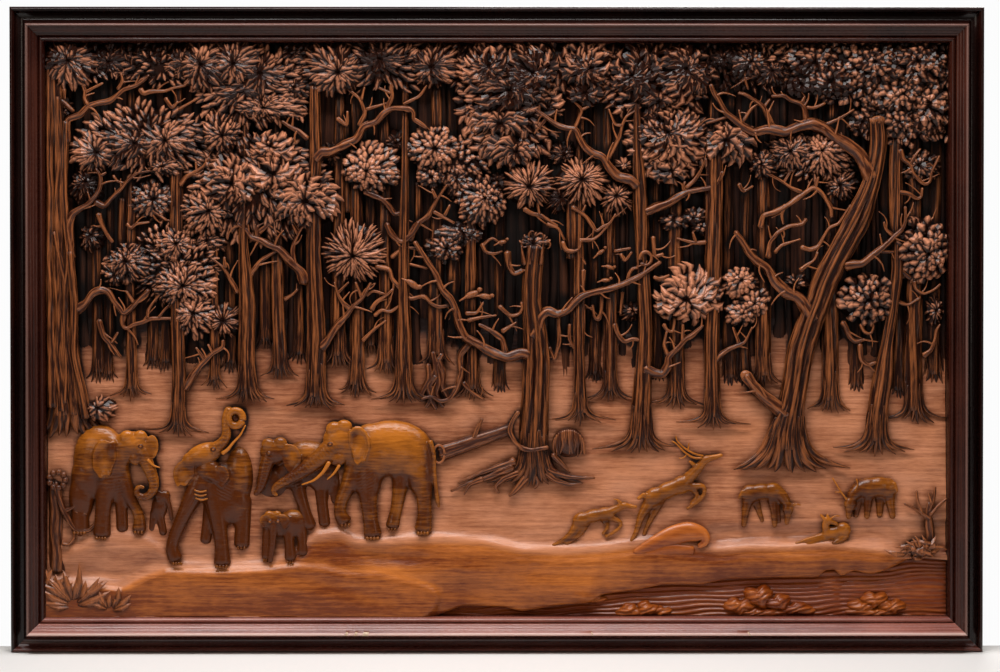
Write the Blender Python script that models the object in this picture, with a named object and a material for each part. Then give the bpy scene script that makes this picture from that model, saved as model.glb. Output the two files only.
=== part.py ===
"""Carved wall panel: a teak forest relief with elephants and deer, in a mitred moulded frame.

The slab and each of the four rails is one closed solid. The frame's back lies in the wall plane, y = 0,
the carving faces -Y, Z is up, and the origin is on the back of the top rail, midway along it.

The relief is laid out the way a carver squares up a drawing: gx counts squares to the right and gy
counts squares down, and `at` turns a place on that layout into metres. Heights of the relief, called
rises, are in fiftieths of RELIEF_DEPTH above the board's lowest ground.
"""

import math

import bpy
import numpy as np
from mathutils import Vector
from mathutils.geometry import delaunay_2d_cdt

# Driving sizes, in metres
OPENING_WIDTH = 1.796
OPENING_HEIGHT = 1.142
RAIL_WIDTH = 0.072
FRAME_DEPTH = 0.100
LIP_COVER = 0.010
BOARD_BACK_GAP = 0.004
BOARD_THICKNESS = 0.026
RELIEF_DEPTH = 0.050
FIT = 0.0003

# The moulding of the rails, in metres
OUTER_SIDE_HEIGHT = 0.060
OUTER_BEAD_WIDTH = 0.010
OUTER_BEAD_HEIGHT = 0.006
COVE_WIDTH = 0.027
COVE_FLOOR_HEIGHT = 0.050
RIDGE_WIDTH = 0.007
SLOPE_DROP = 0.016
SLOPE_END = 0.059
GROOVE_WIDTH = 0.004
GROOVE_DEPTH = 0.006
INNER_BEAD_HEIGHT = 0.004
ARC_STEPS = 6

# The carver's layout: its first square, its number of squares and the rises on it
FIRST_COLUMN = 46
FIRST_ROW = 42
COLUMNS = 898
ROWS = 571
FULL_RISE = 50
WALL_INSET = 0.4
WALL_OUTSET = 0.5
RIM_INSET = 0.7
FLANGE_INSET = 0.25
FLOOR_SPACING = 42
FLOOR_ROW_SPACING = 33
EDGE_SPACING = 75
SHARE_WITHIN = 4.0
SLIM_SHARE = 0.4
SLIM_WIDTH = 9.2
MERGE = 0.22

OPENING_TOP = -RAIL_WIDTH / 2
SQUARE_X = OPENING_WIDTH / COLUMNS
SQUARE_Z = OPENING_HEIGHT / ROWS
BOARD_FRONT = BOARD_BACK_GAP + BOARD_THICKNESS
RISE = RELIEF_DEPTH / FULL_RISE

# Trees: (gx, gy, width) down the trunk, rises of its edges and its middle, flutes, spread of its roots
FRONT = (16, 38)
MIDDLE = (10, 27)
BACK = (4, 15)
GREAT = (20, 48)
TRUNKS = (
    (((54, 60, 15), (60, 300, 28), (66, 400, 38)), FRONT, 3, 24),
    (((130, 300, 11), (130, 386, 13)), MIDDLE, 1, 14),
    (((177, 318, 13), (177, 420, 16)), FRONT, 1, 24),
    (((213, 330, 10), (213, 377, 14)), MIDDLE, 1, 8),
    (((242, 236, 9), (245, 300, 17), (246, 388, 19)), FRONT, 2, 20),
    (((276, 250, 14), (277, 366, 16)), MIDDLE, 1, 12),
    (((313, 92, 12), (313, 250, 15), (315, 330, 20), (314, 394, 22)), FRONT, 2, 22),
    (((355, 300, 14), (355, 382, 17)), MIDDLE, 1, 13),
    (((402, 180, 9), (402, 300, 12), (402, 350, 18), (402, 390, 20)), FRONT, 2, 24),
    (((434, 300, 16), (434, 350, 20)), MIDDLE, 1, 0),
    (((384, 310, 15), (384, 358, 19)), MIDDLE, 1, 0),
    (((336, 290, 15), (336, 351, 18)), MIDDLE, 1, 0),
    (((263, 270, 12), (263, 336, 15)), BACK, 1, 0),
    (((297, 300, 11), (297, 350, 14)), BACK, 1, 0),
    (((451, 280, 16), (451, 330, 18)), BACK, 1, 0),
    (((368, 300, 12), (368, 341, 15)), BACK, 1, 0),
    (((469, 240, 12), (470, 384, 17)), MIDDLE, 1, 13),
    (((532, 246, 22), (529, 300, 19), (534, 345, 28), (532, 462, 34)), GREAT, 4, 34),
    (((577, 330, 11), (577, 410, 16)), FRONT, 1, 30),
    (((608, 300, 13), (608, 388, 16)), MIDDLE, 1, 20),
    (((634, 120, 7), (638, 200, 16), (643, 330, 14), (640, 410, 22), (638, 434, 26)), FRONT, 2, 34),
    (((674, 320, 17), (674, 394, 19)), MIDDLE, 2, 22),
    (((712, 165, 18), (711, 235, 18), (709, 330, 15), (710, 414, 18)), FRONT, 2, 27),
    (((761, 300, 15), (761, 373, 18)), MIDDLE, 1, 15),
    (((733, 320, 28), (733, 370, 30)), BACK, 2, 0),
    (((873, 114, 16), (874, 150, 18), (868, 180, 18), (853, 220, 29), (831, 260, 28), (812, 305, 27),
      (796, 355, 28), (788, 400, 28), (783, 432, 40), (782, 448, 48)), GREAT, 4, 42),
    (((828, 330, 17), (828, 398, 18)), MIDDLE, 1, 14),
    (((855, 345, 13), (855, 384, 16)), BACK, 1, 0),
    (((894, 275, 12), (884, 340, 12), (880, 372, 21), (873, 438, 24)), FRONT, 2, 36),
    (((912, 295, 18), (912, 408, 20)), MIDDLE, 2, 27),
    (((897, 350, 12), (897, 387, 15)), BACK, 1, 0),
    (((933, 330, 18), (933, 370, 20)), BACK, 1, 0),
    (((891, 138, 10), (891, 228, 12)), MIDDLE, 1, 0),
    (((570, 198, 12), (570, 252, 13)), MIDDLE, 1, 0),
    (((173, 172, 10), (173, 228, 11)), MIDDLE, 1, 0),
    (((120, 196, 9), (120, 250, 10)), BACK, 1, 0),
    (((100, 300, 18), (100, 368, 20)), BACK, 1, 0),
    (((158, 330, 22), (158, 356, 23)), BACK, 1, 0),
    (((229, 330, 13), (229, 360, 15)), BACK, 1, 0),
)
ROOT_COUNTS = {GREAT: 4, FRONT: 3, MIDDLE: 2}
ROOT_START = 16
ROOT_TIP_WIDTH = 4

# Dark trunks far back, one every so many squares between the named ones
FAR_TRUNK_SPACING = 44
FAR_TRUNK_WIDTH = 13
FAR_TRUNK_TOP = 80
FAR_TRUNK_FOOT = 350
FAR_TRUNK_RISES = (3, 9)

# Branches, roots and vines: (gx, gy, width) along each, and the rise of the crown
BRANCHES = (
    (((67, 140, 8), (68, 117, 7), (88, 104, 6), (117, 94, 6), (135, 85, 5), (149, 74, 4)), 36),
    (((140, 88, 5), (165, 90, 5), (192, 82, 4)), 34),
    (((70, 255, 9), (69, 222, 8), (88, 203, 7), (100, 187, 6), (97, 166, 4)), 38),
    (((95, 200, 6), (104, 205, 6), (128, 178, 5), (150, 169, 4)), 34),
    (((80, 305, 9), (92, 291, 7), (108, 289, 6), (123, 312, 6), (148, 288, 4)), 36),
    (((123, 312, 5), (124, 327, 5), (142, 320, 5), (172, 316, 4)), 32),
    (((98, 322, 6), (110, 342, 5), (120, 355, 4)), 32),
    (((185, 384, 8), (200, 362, 7), (222, 343, 5)), 32),
    (((306, 137, 6), (281, 120, 4)), 32),
    (((316, 152, 9), (335, 148, 8), (357, 136, 7), (382, 112, 7), (408, 107, 6), (425, 127, 4)), 38),
    (((384, 110, 6), (391, 95, 5), (378, 86, 4)), 34),
    (((363, 190, 6), (388, 205, 6), (400, 210, 5)), 32),
    (((406, 236, 7), (426, 215, 7), (436, 196, 6), (445, 183, 4)), 34),
    (((385, 222, 6), (400, 243, 8), (417, 220, 6)), 30),
    (((303, 278, 10), (290, 259, 9), (268, 243, 8), (250, 236, 6), (237, 222, 5)), 36),
    (((294, 262, 6), (293, 240, 5), (305, 222, 4)), 32),
    (((257, 235, 6), (255, 215, 5), (266, 200, 4)), 30),
    (((245, 278, 6), (260, 258, 5), (276, 248, 4)), 30),
    (((233, 284, 6), (222, 265, 6), (210, 256, 4)), 28),
    (((322, 340, 9), (337, 322, 8), (352, 303, 7), (369, 281, 4)), 36),
    (((349, 308, 6), (338, 293, 5), (333, 280, 4)), 32),
    (((522, 350, 10), (505, 355, 10), (475, 341, 9), (457, 322, 8), (449, 297, 7), (425, 258, 6),
      (413, 240, 5)), 44),
    (((503, 345, 7), (500, 333, 7), (477, 322, 5)), 38),
    (((374, 264, 5), (390, 272, 5), (408, 297, 5), (428, 297, 5), (450, 302, 4)), 32),
    (((505, 250, 6), (507, 265, 7), (520, 268, 6)), 40),
    (((533, 330, 10), (545, 308, 8), (565, 308, 8), (592, 290, 7), (620, 282, 7), (657, 260, 5)), 42),
    (((581, 268, 4), (581, 320, 4), (579, 346, 4), (567, 338, 4), (567, 322, 4)), 28),
    (((560, 238, 5), (570, 250, 5), (578, 238, 5), (608, 220, 4)), 32),
    (((628, 178, 10), (606, 165, 8), (590, 152, 8), (573, 127, 7), (545, 117, 6), (521, 102, 4)), 42),
    (((605, 153, 6), (619, 125, 6), (638, 106, 4)), 36),
    (((570, 205, 5), (594, 230, 5), (613, 212, 4)), 30),
    (((652, 206, 9), (675, 195, 7), (708, 186, 6), (719, 170, 4)), 36),
    (((646, 370, 10), (660, 371, 9), (668, 351, 7), (700, 323, 5)), 38),
    (((716, 353, 7), (742, 340, 6), (749, 325, 4)), 32),
    (((612, 322, 5), (622, 340, 5), (638, 338, 5)), 28),
    (((864, 166, 15), (852, 150, 12), (832, 137, 10), (807, 122, 9), (782, 131, 8), (750, 132, 7),
      (722, 112, 6), (707, 84, 4)), 44),
    (((770, 126, 6), (761, 105, 5), (735, 92, 4)), 36),
    (((803, 120, 6), (799, 104, 5), (768, 95, 4)), 36),
    (((757, 225, 5), (772, 210, 5), (812, 185, 6), (828, 215, 5)), 32),
    (((765, 255, 5), (775, 230, 5), (803, 217, 4)), 30),
    (((798, 245, 5), (815, 245, 5), (826, 225, 5), (847, 203, 4)), 30),
    (((806, 306, 15), (783, 290, 11), (763, 265, 9), (745, 250, 7), (732, 230, 5)), 42),
    (((846, 262, 9), (866, 255, 8), (898, 228, 7), (901, 205, 5)), 38),
    (((897, 148, 5), (910, 172, 6), (927, 180, 5), (936, 154, 4)), 30),
    (((898, 270, 5), (913, 278, 5), (921, 291, 5), (937, 282, 4)), 30),
    (((843, 325, 6), (856, 340, 6), (860, 360, 5), (873, 360, 4)), 28),
    (((786, 414, 15), (772, 402, 13), (750, 382, 11), (742, 372, 10)), 42),
    (((466, 342, 6), (458, 356, 6), (456, 385, 6), (438, 399, 5), (420, 396, 4)), 34),
    (((432, 360, 12), (434, 398, 20)), 30),
    (((470, 478, 5), (500, 464, 9), (522, 448, 14)), 40),
    (((513, 491, 8), (522, 474, 14)), 44),
    (((591, 475, 5), (562, 470, 9), (544, 450, 14)), 42),
    (((451, 487, 6), (480, 474, 11), (508, 462, 15)), 38),
    (((516, 411, 4), (508, 425, 5), (517, 441, 6), (530, 446, 7), (547, 445, 6)), 50),
    (((819, 441, 4), (860, 434, 9)), 34),
    (((921, 441, 4), (884, 434, 9)), 34),
    (((58, 490, 6), (66, 512, 6), (82, 529, 6), (101, 515, 4)), 38),
    (((927, 534, 9), (925, 508, 7), (901, 500, 4)), 36),
    (((925, 512, 6), (932, 484, 4)), 36),
    (((926, 506, 5), (943, 496, 4)), 36),
)

# Foliage: centre, half width and half height, number of leaves, and the rises of rim and crown
HIGH = (30, 47)
NEAR = (24, 42)
FAR = (12, 27)
FOLIAGE = (
    (70, 64, 29, 26, 8, HIGH), (112, 60, 24, 20, 7, FAR), (148, 58, 24, 18, 7, FAR),
    (185, 62, 26, 20, 7, NEAR), (232, 68, 54, 34, 10, HIGH), (262, 100, 42, 22, 8, NEAR),
    (331, 66, 32, 29, 9, HIGH), (382, 62, 28, 21, 7, NEAR), (433, 63, 28, 23, 8, HIGH),
    (500, 122, 34, 19, 7, NEAR), (507, 150, 30, 17, 7, NEAR), (503, 74, 48, 42, 9, HIGH),
    (583, 66, 30, 32, 8, HIGH), (652, 78, 46, 32, 9, HIGH), (655, 106, 20, 11, 6, NEAR),
    (752, 62, 26, 22, 6, NEAR), (722, 56, 16, 16, 6, FAR), (800, 66, 28, 24, 7, NEAR),
    (838, 66, 26, 24, 7, HIGH), (886, 72, 30, 30, 8, HIGH), (925, 88, 26, 36, 7, HIGH),
    (893, 116, 20, 20, 6, NEAR),
    (163, 140, 36, 26, 8, NEAR), (98, 148, 30, 24, 7, NEAR), (165, 166, 20, 12, 6, NEAR),
    (219, 130, 21, 23, 7, NEAR), (85, 184, 19, 22, 6, FAR), (151, 198, 26, 22, 6, FAR),
    (271, 140, 26, 17, 6, NEAR), (271, 170, 31, 25, 7, NEAR), (228, 178, 28, 28, 7, NEAR),
    (204, 212, 25, 24, 7, NEAR), (303, 198, 37, 31, 9, NEAR), (353, 249, 32, 31, 9, NEAR),
    (371, 165, 29, 25, 8, NEAR), (430, 150, 27, 26, 7, NEAR), (458, 175, 17, 24, 6, FAR),
    (480, 200, 23, 25, 7, NEAR), (438, 246, 21, 17, 6, FAR), (129, 266, 27, 22, 7, NEAR),
    (172, 245, 24, 20, 6, NEAR), (183, 279, 32, 26, 8, NEAR), (192, 312, 24, 24, 7, NEAR),
    (222, 319, 21, 19, 6, FAR), (207, 240, 21, 13, 6, FAR), (527, 183, 28, 24, 8, NEAR),
    (580, 180, 27, 25, 8, NEAR), (555, 198, 17, 16, 6, FAR), (615, 198, 17, 18, 6, NEAR),
    (547, 98, 14, 14, 6, FAR), (670, 142, 35, 36, 9, NEAR), (728, 142, 27, 24, 7, NEAR),
    (761, 162, 16, 16, 6, NEAR), (790, 152, 24, 22, 6, NEAR), (822, 156, 26, 26, 6, NEAR),
    (842, 184, 19, 18, 6, FAR), (680, 217, 25, 15, 6, FAR), (687, 291, 36, 30, 9, NEAR),
    (744, 291, 24, 29, 7, NEAR), (628, 308, 15, 11, 6, FAR), (864, 297, 29, 25, 8, NEAR),
    (918, 247, 27, 33, 8, NEAR), (919, 165, 20, 18, 6, FAR),
    (100, 406, 17, 14, 6, NEAR), (565, 448, 18, 20, 6, NEAR),
    (72, 596, 24, 18, 6, NEAR), (104, 598, 20, 13, 5, NEAR), (914, 541, 26, 14, 6, NEAR),
)

# Figures: ovals (gx, gy, half width, half height, turn) and limbs (gx, gy, width), with their rises
ELEPHANT_A = (
    ("limb", ((118, 488, 15), (121, 524, 11)), 18, 30),
    ("limb", ((78, 478, 17), (79, 524, 14)), 24, 38),
    ("oval", (98, 458, 27, 37, 0), 26, 44),
    ("limb", ((104, 475, 18), (104, 500, 15), (101, 530, 13)), 28, 44),
    ("limb", ((123, 480, 11), (132, 500, 9), (140, 515, 8), (138, 526, 12)), 24, 38),
    ("oval", (105, 457, 12, 18, 0), 42, 47),
    ("oval", (132, 441, 16, 14, 0), 34, 48),
    ("limb", ((140, 445, 16), (147, 460, 13), (154, 476, 11), (152, 491, 7), (137, 490, 6),
              (144, 483, 4)), 34, 50),
)
CALF = (
    ("limb", ((163, 493, 11), (158, 508, 15), (161, 530, 10)), 16, 27),
)
ELEPHANT_B = (
    ("oval", (238, 480, 13, 31, 0), 18, 34),
    ("limb", ((240, 500, 15), (240, 542, 12)), 22, 34),
    ("oval", (184, 469, 12, 16, 0), 26, 36),
    ("oval", (221, 472, 9, 14, 0), 30, 40),
    ("oval", (220, 490, 19, 30, 0), 26, 42),
    ("limb", ((192, 488, 17), (182, 510, 13), (171, 534, 11), (177, 556, 15)), 28, 44),
    ("limb", ((213, 492, 18), (218, 520, 13), (221, 545, 12), (221, 560, 17)), 30, 46),
    ("oval", (206, 466, 15, 14, 0), 32, 46),
    ("oval", (203, 451, 20, 10, -20), 36, 49),
    ("limb", ((215, 443, 11), (227, 434, 8), (225, 418, 8), (229, 410, 8), (236, 413, 13)), 38, 50),
    ("limb", ((222, 450, 4), (240, 440, 3), (245, 422, 2)), 38, 49),
)
ELEPHANT_C = (
    ("limb", ((253, 495, 11), (255, 534, 10)), 14, 24),
    ("oval", (305, 462, 28, 24, 0), 18, 36),
    ("limb", ((296, 482, 12), (302, 500, 10), (308, 524, 10)), 20, 34),
    ("limb", ((320, 480, 12), (323, 522, 9)), 18, 30),
    ("oval", (291, 456, 11, 15, 0), 30, 40),
    ("oval", (273, 450, 15, 13, 0), 30, 43),
    ("limb", ((263, 460, 13), (262, 476, 11), (254, 491, 4)), 30, 42),
)
ELEPHANT_D = (
    ("limb", ((398, 480, 15), (394, 505, 11), (390, 523, 11)), 20, 34),
    ("limb", ((350, 470, 15), (338, 500, 12), (343, 517, 12)), 24, 38),
    ("oval", (393, 447, 40, 31, 6), 26, 46),
    ("limb", ((419, 462, 22), (422, 495, 14), (421, 526, 16)), 28, 44),
    ("oval", (364, 456, 20, 30, 0), 28, 46),
    ("limb", ((365, 470, 22), (367, 500, 15), (371, 531, 17)), 30, 46),
    ("limb", ((430, 445, 4), (433, 485, 4), (436, 502, 5)), 28, 38),
    ("oval", (357, 443, 11, 18, 0), 44, 49),
    ("oval", (338, 437, 17, 17, 0), 36, 50),
    ("limb", ((324, 446, 20), (311, 461, 17), (294, 473, 11), (273, 484, 6)), 34, 49),
    ("limb", ((328, 460, 5), (318, 476, 4), (301, 481, 3)), 42, 50),
)
ELEPHANT_E = (
    ("limb", ((288, 530, 9), (289, 556, 10)), 28, 40),
    ("limb", ((301, 528, 9), (301, 550, 9)), 26, 38),
    ("oval", (290, 520, 15, 13, 0), 30, 43),
    ("limb", ((266, 530, 8), (265, 554, 9)), 28, 40),
    ("oval", (283, 518, 5, 8, 0), 40, 45),
    ("oval", (272, 518, 10, 11, 0), 34, 46),
    ("limb", ((272, 525, 8), (270, 558, 5)), 34, 45),
)
STAG = (
    ("limb", ((660, 498, 10), (646, 520, 5), (642, 532, 4)), 24, 32),
    ("limb", ((643, 500, 16), (637, 522, 6), (629, 539, 4)), 28, 36),
    ("limb", ((650, 495, 22), (665, 488, 19), (680, 482, 19)), 28, 40),
    ("limb", ((684, 478, 15), (700, 459, 9)), 28, 39),
    ("limb", ((701, 457, 9), (718, 452, 4)), 28, 38),
    ("limb", ((699, 455, 3), (681, 449, 3), (669, 438, 3)), 26, 34),
    ("limb", ((685, 485, 8), (700, 481, 5), (700, 494, 4), (683, 506, 3)), 28, 36),
)
HIND = (
    ("limb", ((580, 518, 14), (570, 530, 6), (550, 542, 4)), 28, 35),
    ("limb", ((580, 516, 15), (603, 511, 12)), 28, 38),
    ("limb", ((610, 510, 8), (622, 502, 8), (633, 503, 4)), 28, 37),
    ("limb", ((607, 515, 6), (621, 519, 4), (604, 533, 3)), 28, 35),
)
GRAZING_DOE = (
    ("limb", ((744, 495, 12), (741, 510, 6), (740, 524, 4)), 24, 32),
    ("limb", ((770, 493, 9), (772, 523, 4)), 24, 32),
    ("limb", ((748, 490, 19), (770, 488, 18)), 26, 38),
    ("limb", ((776, 488, 14), (785, 505, 9), (784, 521, 5)), 26, 38),
    ("limb", ((789, 505, 4), (797, 502, 3)), 26, 32),
)
GRAZING_BUCK = (
    ("limb", ((855, 497, 8), (853, 512, 5)), 22, 31),
    ("limb", ((865, 495, 8), (864, 512, 5)), 22, 31),
    ("limb", ((877, 497, 8), (877, 512, 5)), 22, 31),
    ("limb", ((888, 494, 9), (889, 512, 5)), 22, 31),
    ("limb", ((868, 485, 24), (880, 485, 24)), 26, 38),
    ("limb", ((858, 487, 15), (847, 500, 11), (846, 512, 9)), 26, 37),
    ("limb", ((844, 497, 3), (833, 483, 3), (829, 475, 3)), 24, 32),
)
FAWN = (
    ("limb", ((822, 534, 5), (805, 537, 4), (793, 542, 4)), 30, 36),
    ("limb", ((826, 531, 14), (840, 527, 16)), 30, 40),
    ("limb", ((822, 527, 9), (825, 519, 8), (832, 520, 7)), 30, 39),
)
LOG = (
    ("limb", ((437, 451, 18), (472, 439, 15), (508, 426, 12)), 20, 34),
    ("limb", ((474, 432, 6), (480, 416, 4)), 20, 30),
)
ROCKS = (
    ("oval", (640, 608, 26, 8, 0), 28, 38),
    ("oval", (757, 599, 32, 14, -4), 28, 42),
    ("oval", (798, 603, 22, 9, 6), 28, 38),
    ("oval", (875, 602, 32, 10, 0), 28, 40),
    ("oval", (693, 530, 19, 10, 0), 34, 43),
    ("oval", (588, 594, 14, 5, 20), 30, 36),
    ("oval", (826, 570, 11, 5, 10), 34, 40),
)
FIGURES = (ELEPHANT_A, CALF, ELEPHANT_B, ELEPHANT_C, ELEPHANT_D, ELEPHANT_E, STAG, HIND,
           GRAZING_DOE, GRAZING_BUCK, FAWN, LOG, ROCKS)

# The forest floor: its rise down the rows, the crest of the front bank and the bank's lower edge
FLOOR_RISES = ((320, 2), (400, 12), (450, 17), (500, 22), (545, 28))
BANK_CREST = ((46, 574), (95, 576), (122, 581), (150, 565), (260, 561), (300, 551), (345, 540),
              (480, 536), (540, 546), (600, 546), (645, 538), (700, 540), (745, 543), (830, 541),
              (880, 546), (944, 556))
BANK_FOOT = ((46, 640), (520, 640), (560, 611), (596, 599), (637, 586), (723, 575), (819, 575),
             (851, 571), (905, 556), (944, 550))
CREST_RISE = 38
CREST_ROLL = 14
HILL_RISE = 46
STREAM_RISE = 22
STREAM_SLOPE = 0.08


def at(gx, gy):
    """A place on the layout in metres, as X and Z."""
    x = (gx - FIRST_COLUMN - COLUMNS / 2) * SQUARE_X
    z = OPENING_TOP - (gy - FIRST_ROW) * SQUARE_Z
    return x, z


class Bar:
    """A rounded, tapered limb, trunk or branch along a line of (gx, gy, width) stations."""

    def __init__(self, line, foot, crown, flutes=1):
        self.line = np.array(line, dtype=float)
        self.line[:, 2] /= 2
        self.foot = foot
        self.crown = crown
        self.flutes = flutes

    def bounds(self):
        reach = self.line[:, 2].max()
        return self.line[:, :2].min(axis=0) - reach, self.line[:, :2].max(axis=0) + reach

    def rise(self, places):
        """The rise at each place, and minus one outside the bar."""
        best = np.full(len(places), -1.0)
        for start, end in zip(self.line[:-1], self.line[1:]):
            along = end[:2] - start[:2]
            share = ((places - start[:2]) @ along) / (along @ along)
            share = np.clip(share, 0, 1)
            middle = start[:2] + share[:, None] * along
            radius = start[2] + share * (end[2] - start[2])
            offset = places - middle
            off = np.hypot(offset[:, 0], offset[:, 1]) / radius
            round_part = np.sqrt(np.clip(1 - off ** 2, 0, 1))
            height = self.foot + (self.crown - self.foot) * round_part
            if self.flutes > 1:
                valley = np.cos(math.pi * self.flutes * off) ** 2
                depth = 0.22 * (self.crown - self.foot) * (1 - valley) * round_part
                height = height - depth
            best = np.where(off <= 1, np.maximum(best, height), best)
        return best

    def side(self, share, grow=0.0):
        """The line moved sideways by a share of the half width, plus a fixed growth."""
        points = []
        line = self.line
        for index, station in enumerate(line):
            before = line[max(index - 1, 0), :2]
            after = line[min(index + 1, len(line) - 1), :2]
            heading = (after - before) / np.hypot(*(after - before))
            normal = np.array((-heading[1], heading[0]))
            reach = station[2] * share + math.copysign(grow, share)
            points.append(station[:2] + normal * reach)
        return points

    def end(self, last, grow):
        """The middle of the rounded end of the bar."""
        line = self.line
        station, neighbour = (line[-1], line[-2]) if last else (line[0], line[1])
        heading = (station[:2] - neighbour[:2]) / np.hypot(*(station[:2] - neighbour[:2]))
        return [station[:2] + heading * (station[2] + grow)]

    def outline(self, grow):
        ring = self.side(1, grow) + self.end(True, grow)
        ring += self.side(-1, grow)[::-1] + self.end(False, grow)
        return ring

    def is_slim(self):
        return self.line[:, 2].max() < SLIM_WIDTH / 2

    def rings(self):
        rings = [self.outline(WALL_OUTSET)]
        if not self.is_slim():
            rings.append(self.outline(-WALL_INSET))
        return rings

    def crests(self):
        lines = [[station[:2] for station in self.line]]
        if self.flutes > 1 or self.line[:, 2].max() > 9:
            step = 1 / self.flutes if self.flutes > 2 else 0.6
            lines.append(self.side(step))
            lines.append(self.side(-step))
        return lines


class Oval:
    """A rounded mass with an elliptical outline."""

    def __init__(self, shape, foot, crown):
        self.middle = np.array(shape[:2], dtype=float)
        self.reach = np.array(shape[2:4], dtype=float)
        self.turn = math.radians(shape[4])
        self.foot = foot
        self.crown = crown

    def is_slim(self):
        return self.reach.max() < SLIM_WIDTH

    def bounds(self):
        return self.middle - self.reach.max(), self.middle + self.reach.max()

    def rise(self, places):
        offset = places - self.middle
        cosine, sine = math.cos(self.turn), math.sin(self.turn)
        across = (offset[:, 0] * cosine + offset[:, 1] * sine) / self.reach[0]
        down = (offset[:, 1] * cosine - offset[:, 0] * sine) / self.reach[1]
        off = np.hypot(across, down)
        height = self.foot + (self.crown - self.foot) * np.sqrt(np.clip(1 - off ** 2, 0, 1))
        return np.where(off <= 1, height, -1.0)

    def ring(self, share, grow, sides):
        points = []
        for index in range(sides):
            angle = 2 * math.pi * index / sides
            across = (self.reach[0] * share + grow) * math.cos(angle)
            down = (self.reach[1] * share + grow) * math.sin(angle)
            cosine, sine = math.cos(self.turn), math.sin(self.turn)
            place = (across * cosine - down * sine, across * sine + down * cosine)
            points.append(self.middle + np.array(place))
        return points

    def sides(self):
        return int(np.clip(self.reach.max() * 0.5, 8, 14))

    def rings(self):
        rings = [self.ring(1, WALL_OUTSET, self.sides()), self.ring(1, -WALL_INSET, self.sides())]
        if self.reach.min() > 9:
            rings.append(self.ring(0.66, 0, self.sides()))
        return rings

    def crests(self):
        return [[self.middle]]


class Rosette:
    """A tuft of leaves: a domed star, each leaf with a raised rib and a valley to the next."""

    def __init__(self, row):
        self.middle = np.array(row[:2], dtype=float)
        self.reach = np.array(row[2:4], dtype=float)
        self.leaves = round(row[4])
        self.foot, self.crown = row[5]
        self.start = math.radians(37 * (row[0] % 11))

    def is_slim(self):
        return False

    def bounds(self):
        return self.middle - self.reach, self.middle + self.reach

    def star(self, angle):
        """The outline's reach at an angle, as a share: one at a leaf's tip, less between two."""
        wave = 0.5 + 0.5 * math.cos(self.leaves * (angle - self.start))
        return 0.84 + 0.16 * wave

    def rise(self, places):
        offset = (places - self.middle) / self.reach
        off = np.hypot(offset[:, 0], offset[:, 1])
        angle = np.arctan2(offset[:, 1], offset[:, 0])
        wave = 0.5 + 0.5 * np.cos(self.leaves * (angle - self.start))
        share = off / (0.84 + 0.16 * wave)
        dome = np.sqrt(np.clip(1 - share ** 2, 0, 1))
        rib = 0.34 * (1 - wave) * np.clip(share * 2, 0, 1)
        height = self.foot + (self.crown - self.foot) * dome * (1 - rib)
        return np.where(share <= 1, height, -1.0)

    def ring(self, share, grow, count, shift=0.0):
        points = []
        for index in range(count):
            angle = self.start + 2 * math.pi * (index + shift) / count
            reach = self.reach * share * self.star(angle) + grow
            points.append(self.middle + reach * np.array((math.cos(angle), math.sin(angle))))
        return points

    def rings(self):
        rim = 2 * self.leaves
        rings = [self.ring(1, WALL_OUTSET, rim), self.ring(1, -WALL_INSET, rim)]
        if self.foot > FAR[0]:
            rings.append(self.ring(0.55, 0, self.leaves))
        return rings

    def crests(self):
        return [[self.middle]]


def roots(foot, spread, rises):
    """The short roots that splay from the foot of a trunk, longest at the sides."""
    gx, gy, width = foot
    bars = []
    for share in np.linspace(-1, 1, round(ROOT_COUNTS[rises])):
        start = (gx + share * width * 0.28, gy - ROOT_START * 0.5, width * 0.44)
        bend = (gx + share * (width * 0.3 + spread * 0.22), gy + width * 0.35, width * 0.34)
        tip = (gx + share * spread, gy + width * 0.5 + 3 - 2 * abs(share), ROOT_TIP_WIDTH)
        line = (bend, tip) if rises == MIDDLE else (start, bend, tip)
        bars.append(Bar(line, rises[0], rises[0] + 0.8 * (rises[1] - rises[0])))
    return bars


def all_features():
    """Every raised thing on the board, in the order it is laid out."""
    features = []
    for line, rises, flutes, spread in TRUNKS:
        features.append(Bar(line, rises[0], rises[1], flutes))
        if spread:
            features.extend(roots(line[-1], spread, rises))
    count = int((COLUMNS - 20) / FAR_TRUNK_SPACING)
    for index in range(count):
        gx = FIRST_COLUMN + 18 + index * FAR_TRUNK_SPACING + 5 * math.sin(index * 2.3)
        foot_row = FAR_TRUNK_FOOT + 14 * math.sin(index * 1.7)
        line = ((gx, FAR_TRUNK_TOP, FAR_TRUNK_WIDTH * 0.8), (gx, foot_row, FAR_TRUNK_WIDTH))
        features.append(Bar(line, *FAR_TRUNK_RISES))
    for line, crown in BRANCHES:
        features.append(Bar(line, crown * 0.55, crown))
    for row in FOLIAGE:
        features.append(Rosette(row))
    for figure in FIGURES:
        for kind, shape, foot, crown in figure:
            if kind == "oval":
                features.append(Oval(shape, foot, crown))
            else:
                features.append(Bar(shape, foot, crown))
    return features


def between(table, places):
    """The value of a (position, value) table at each place, by straight lines."""
    table = np.array(table, dtype=float)
    return np.interp(places, table[:, 0], table[:, 1])


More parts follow.
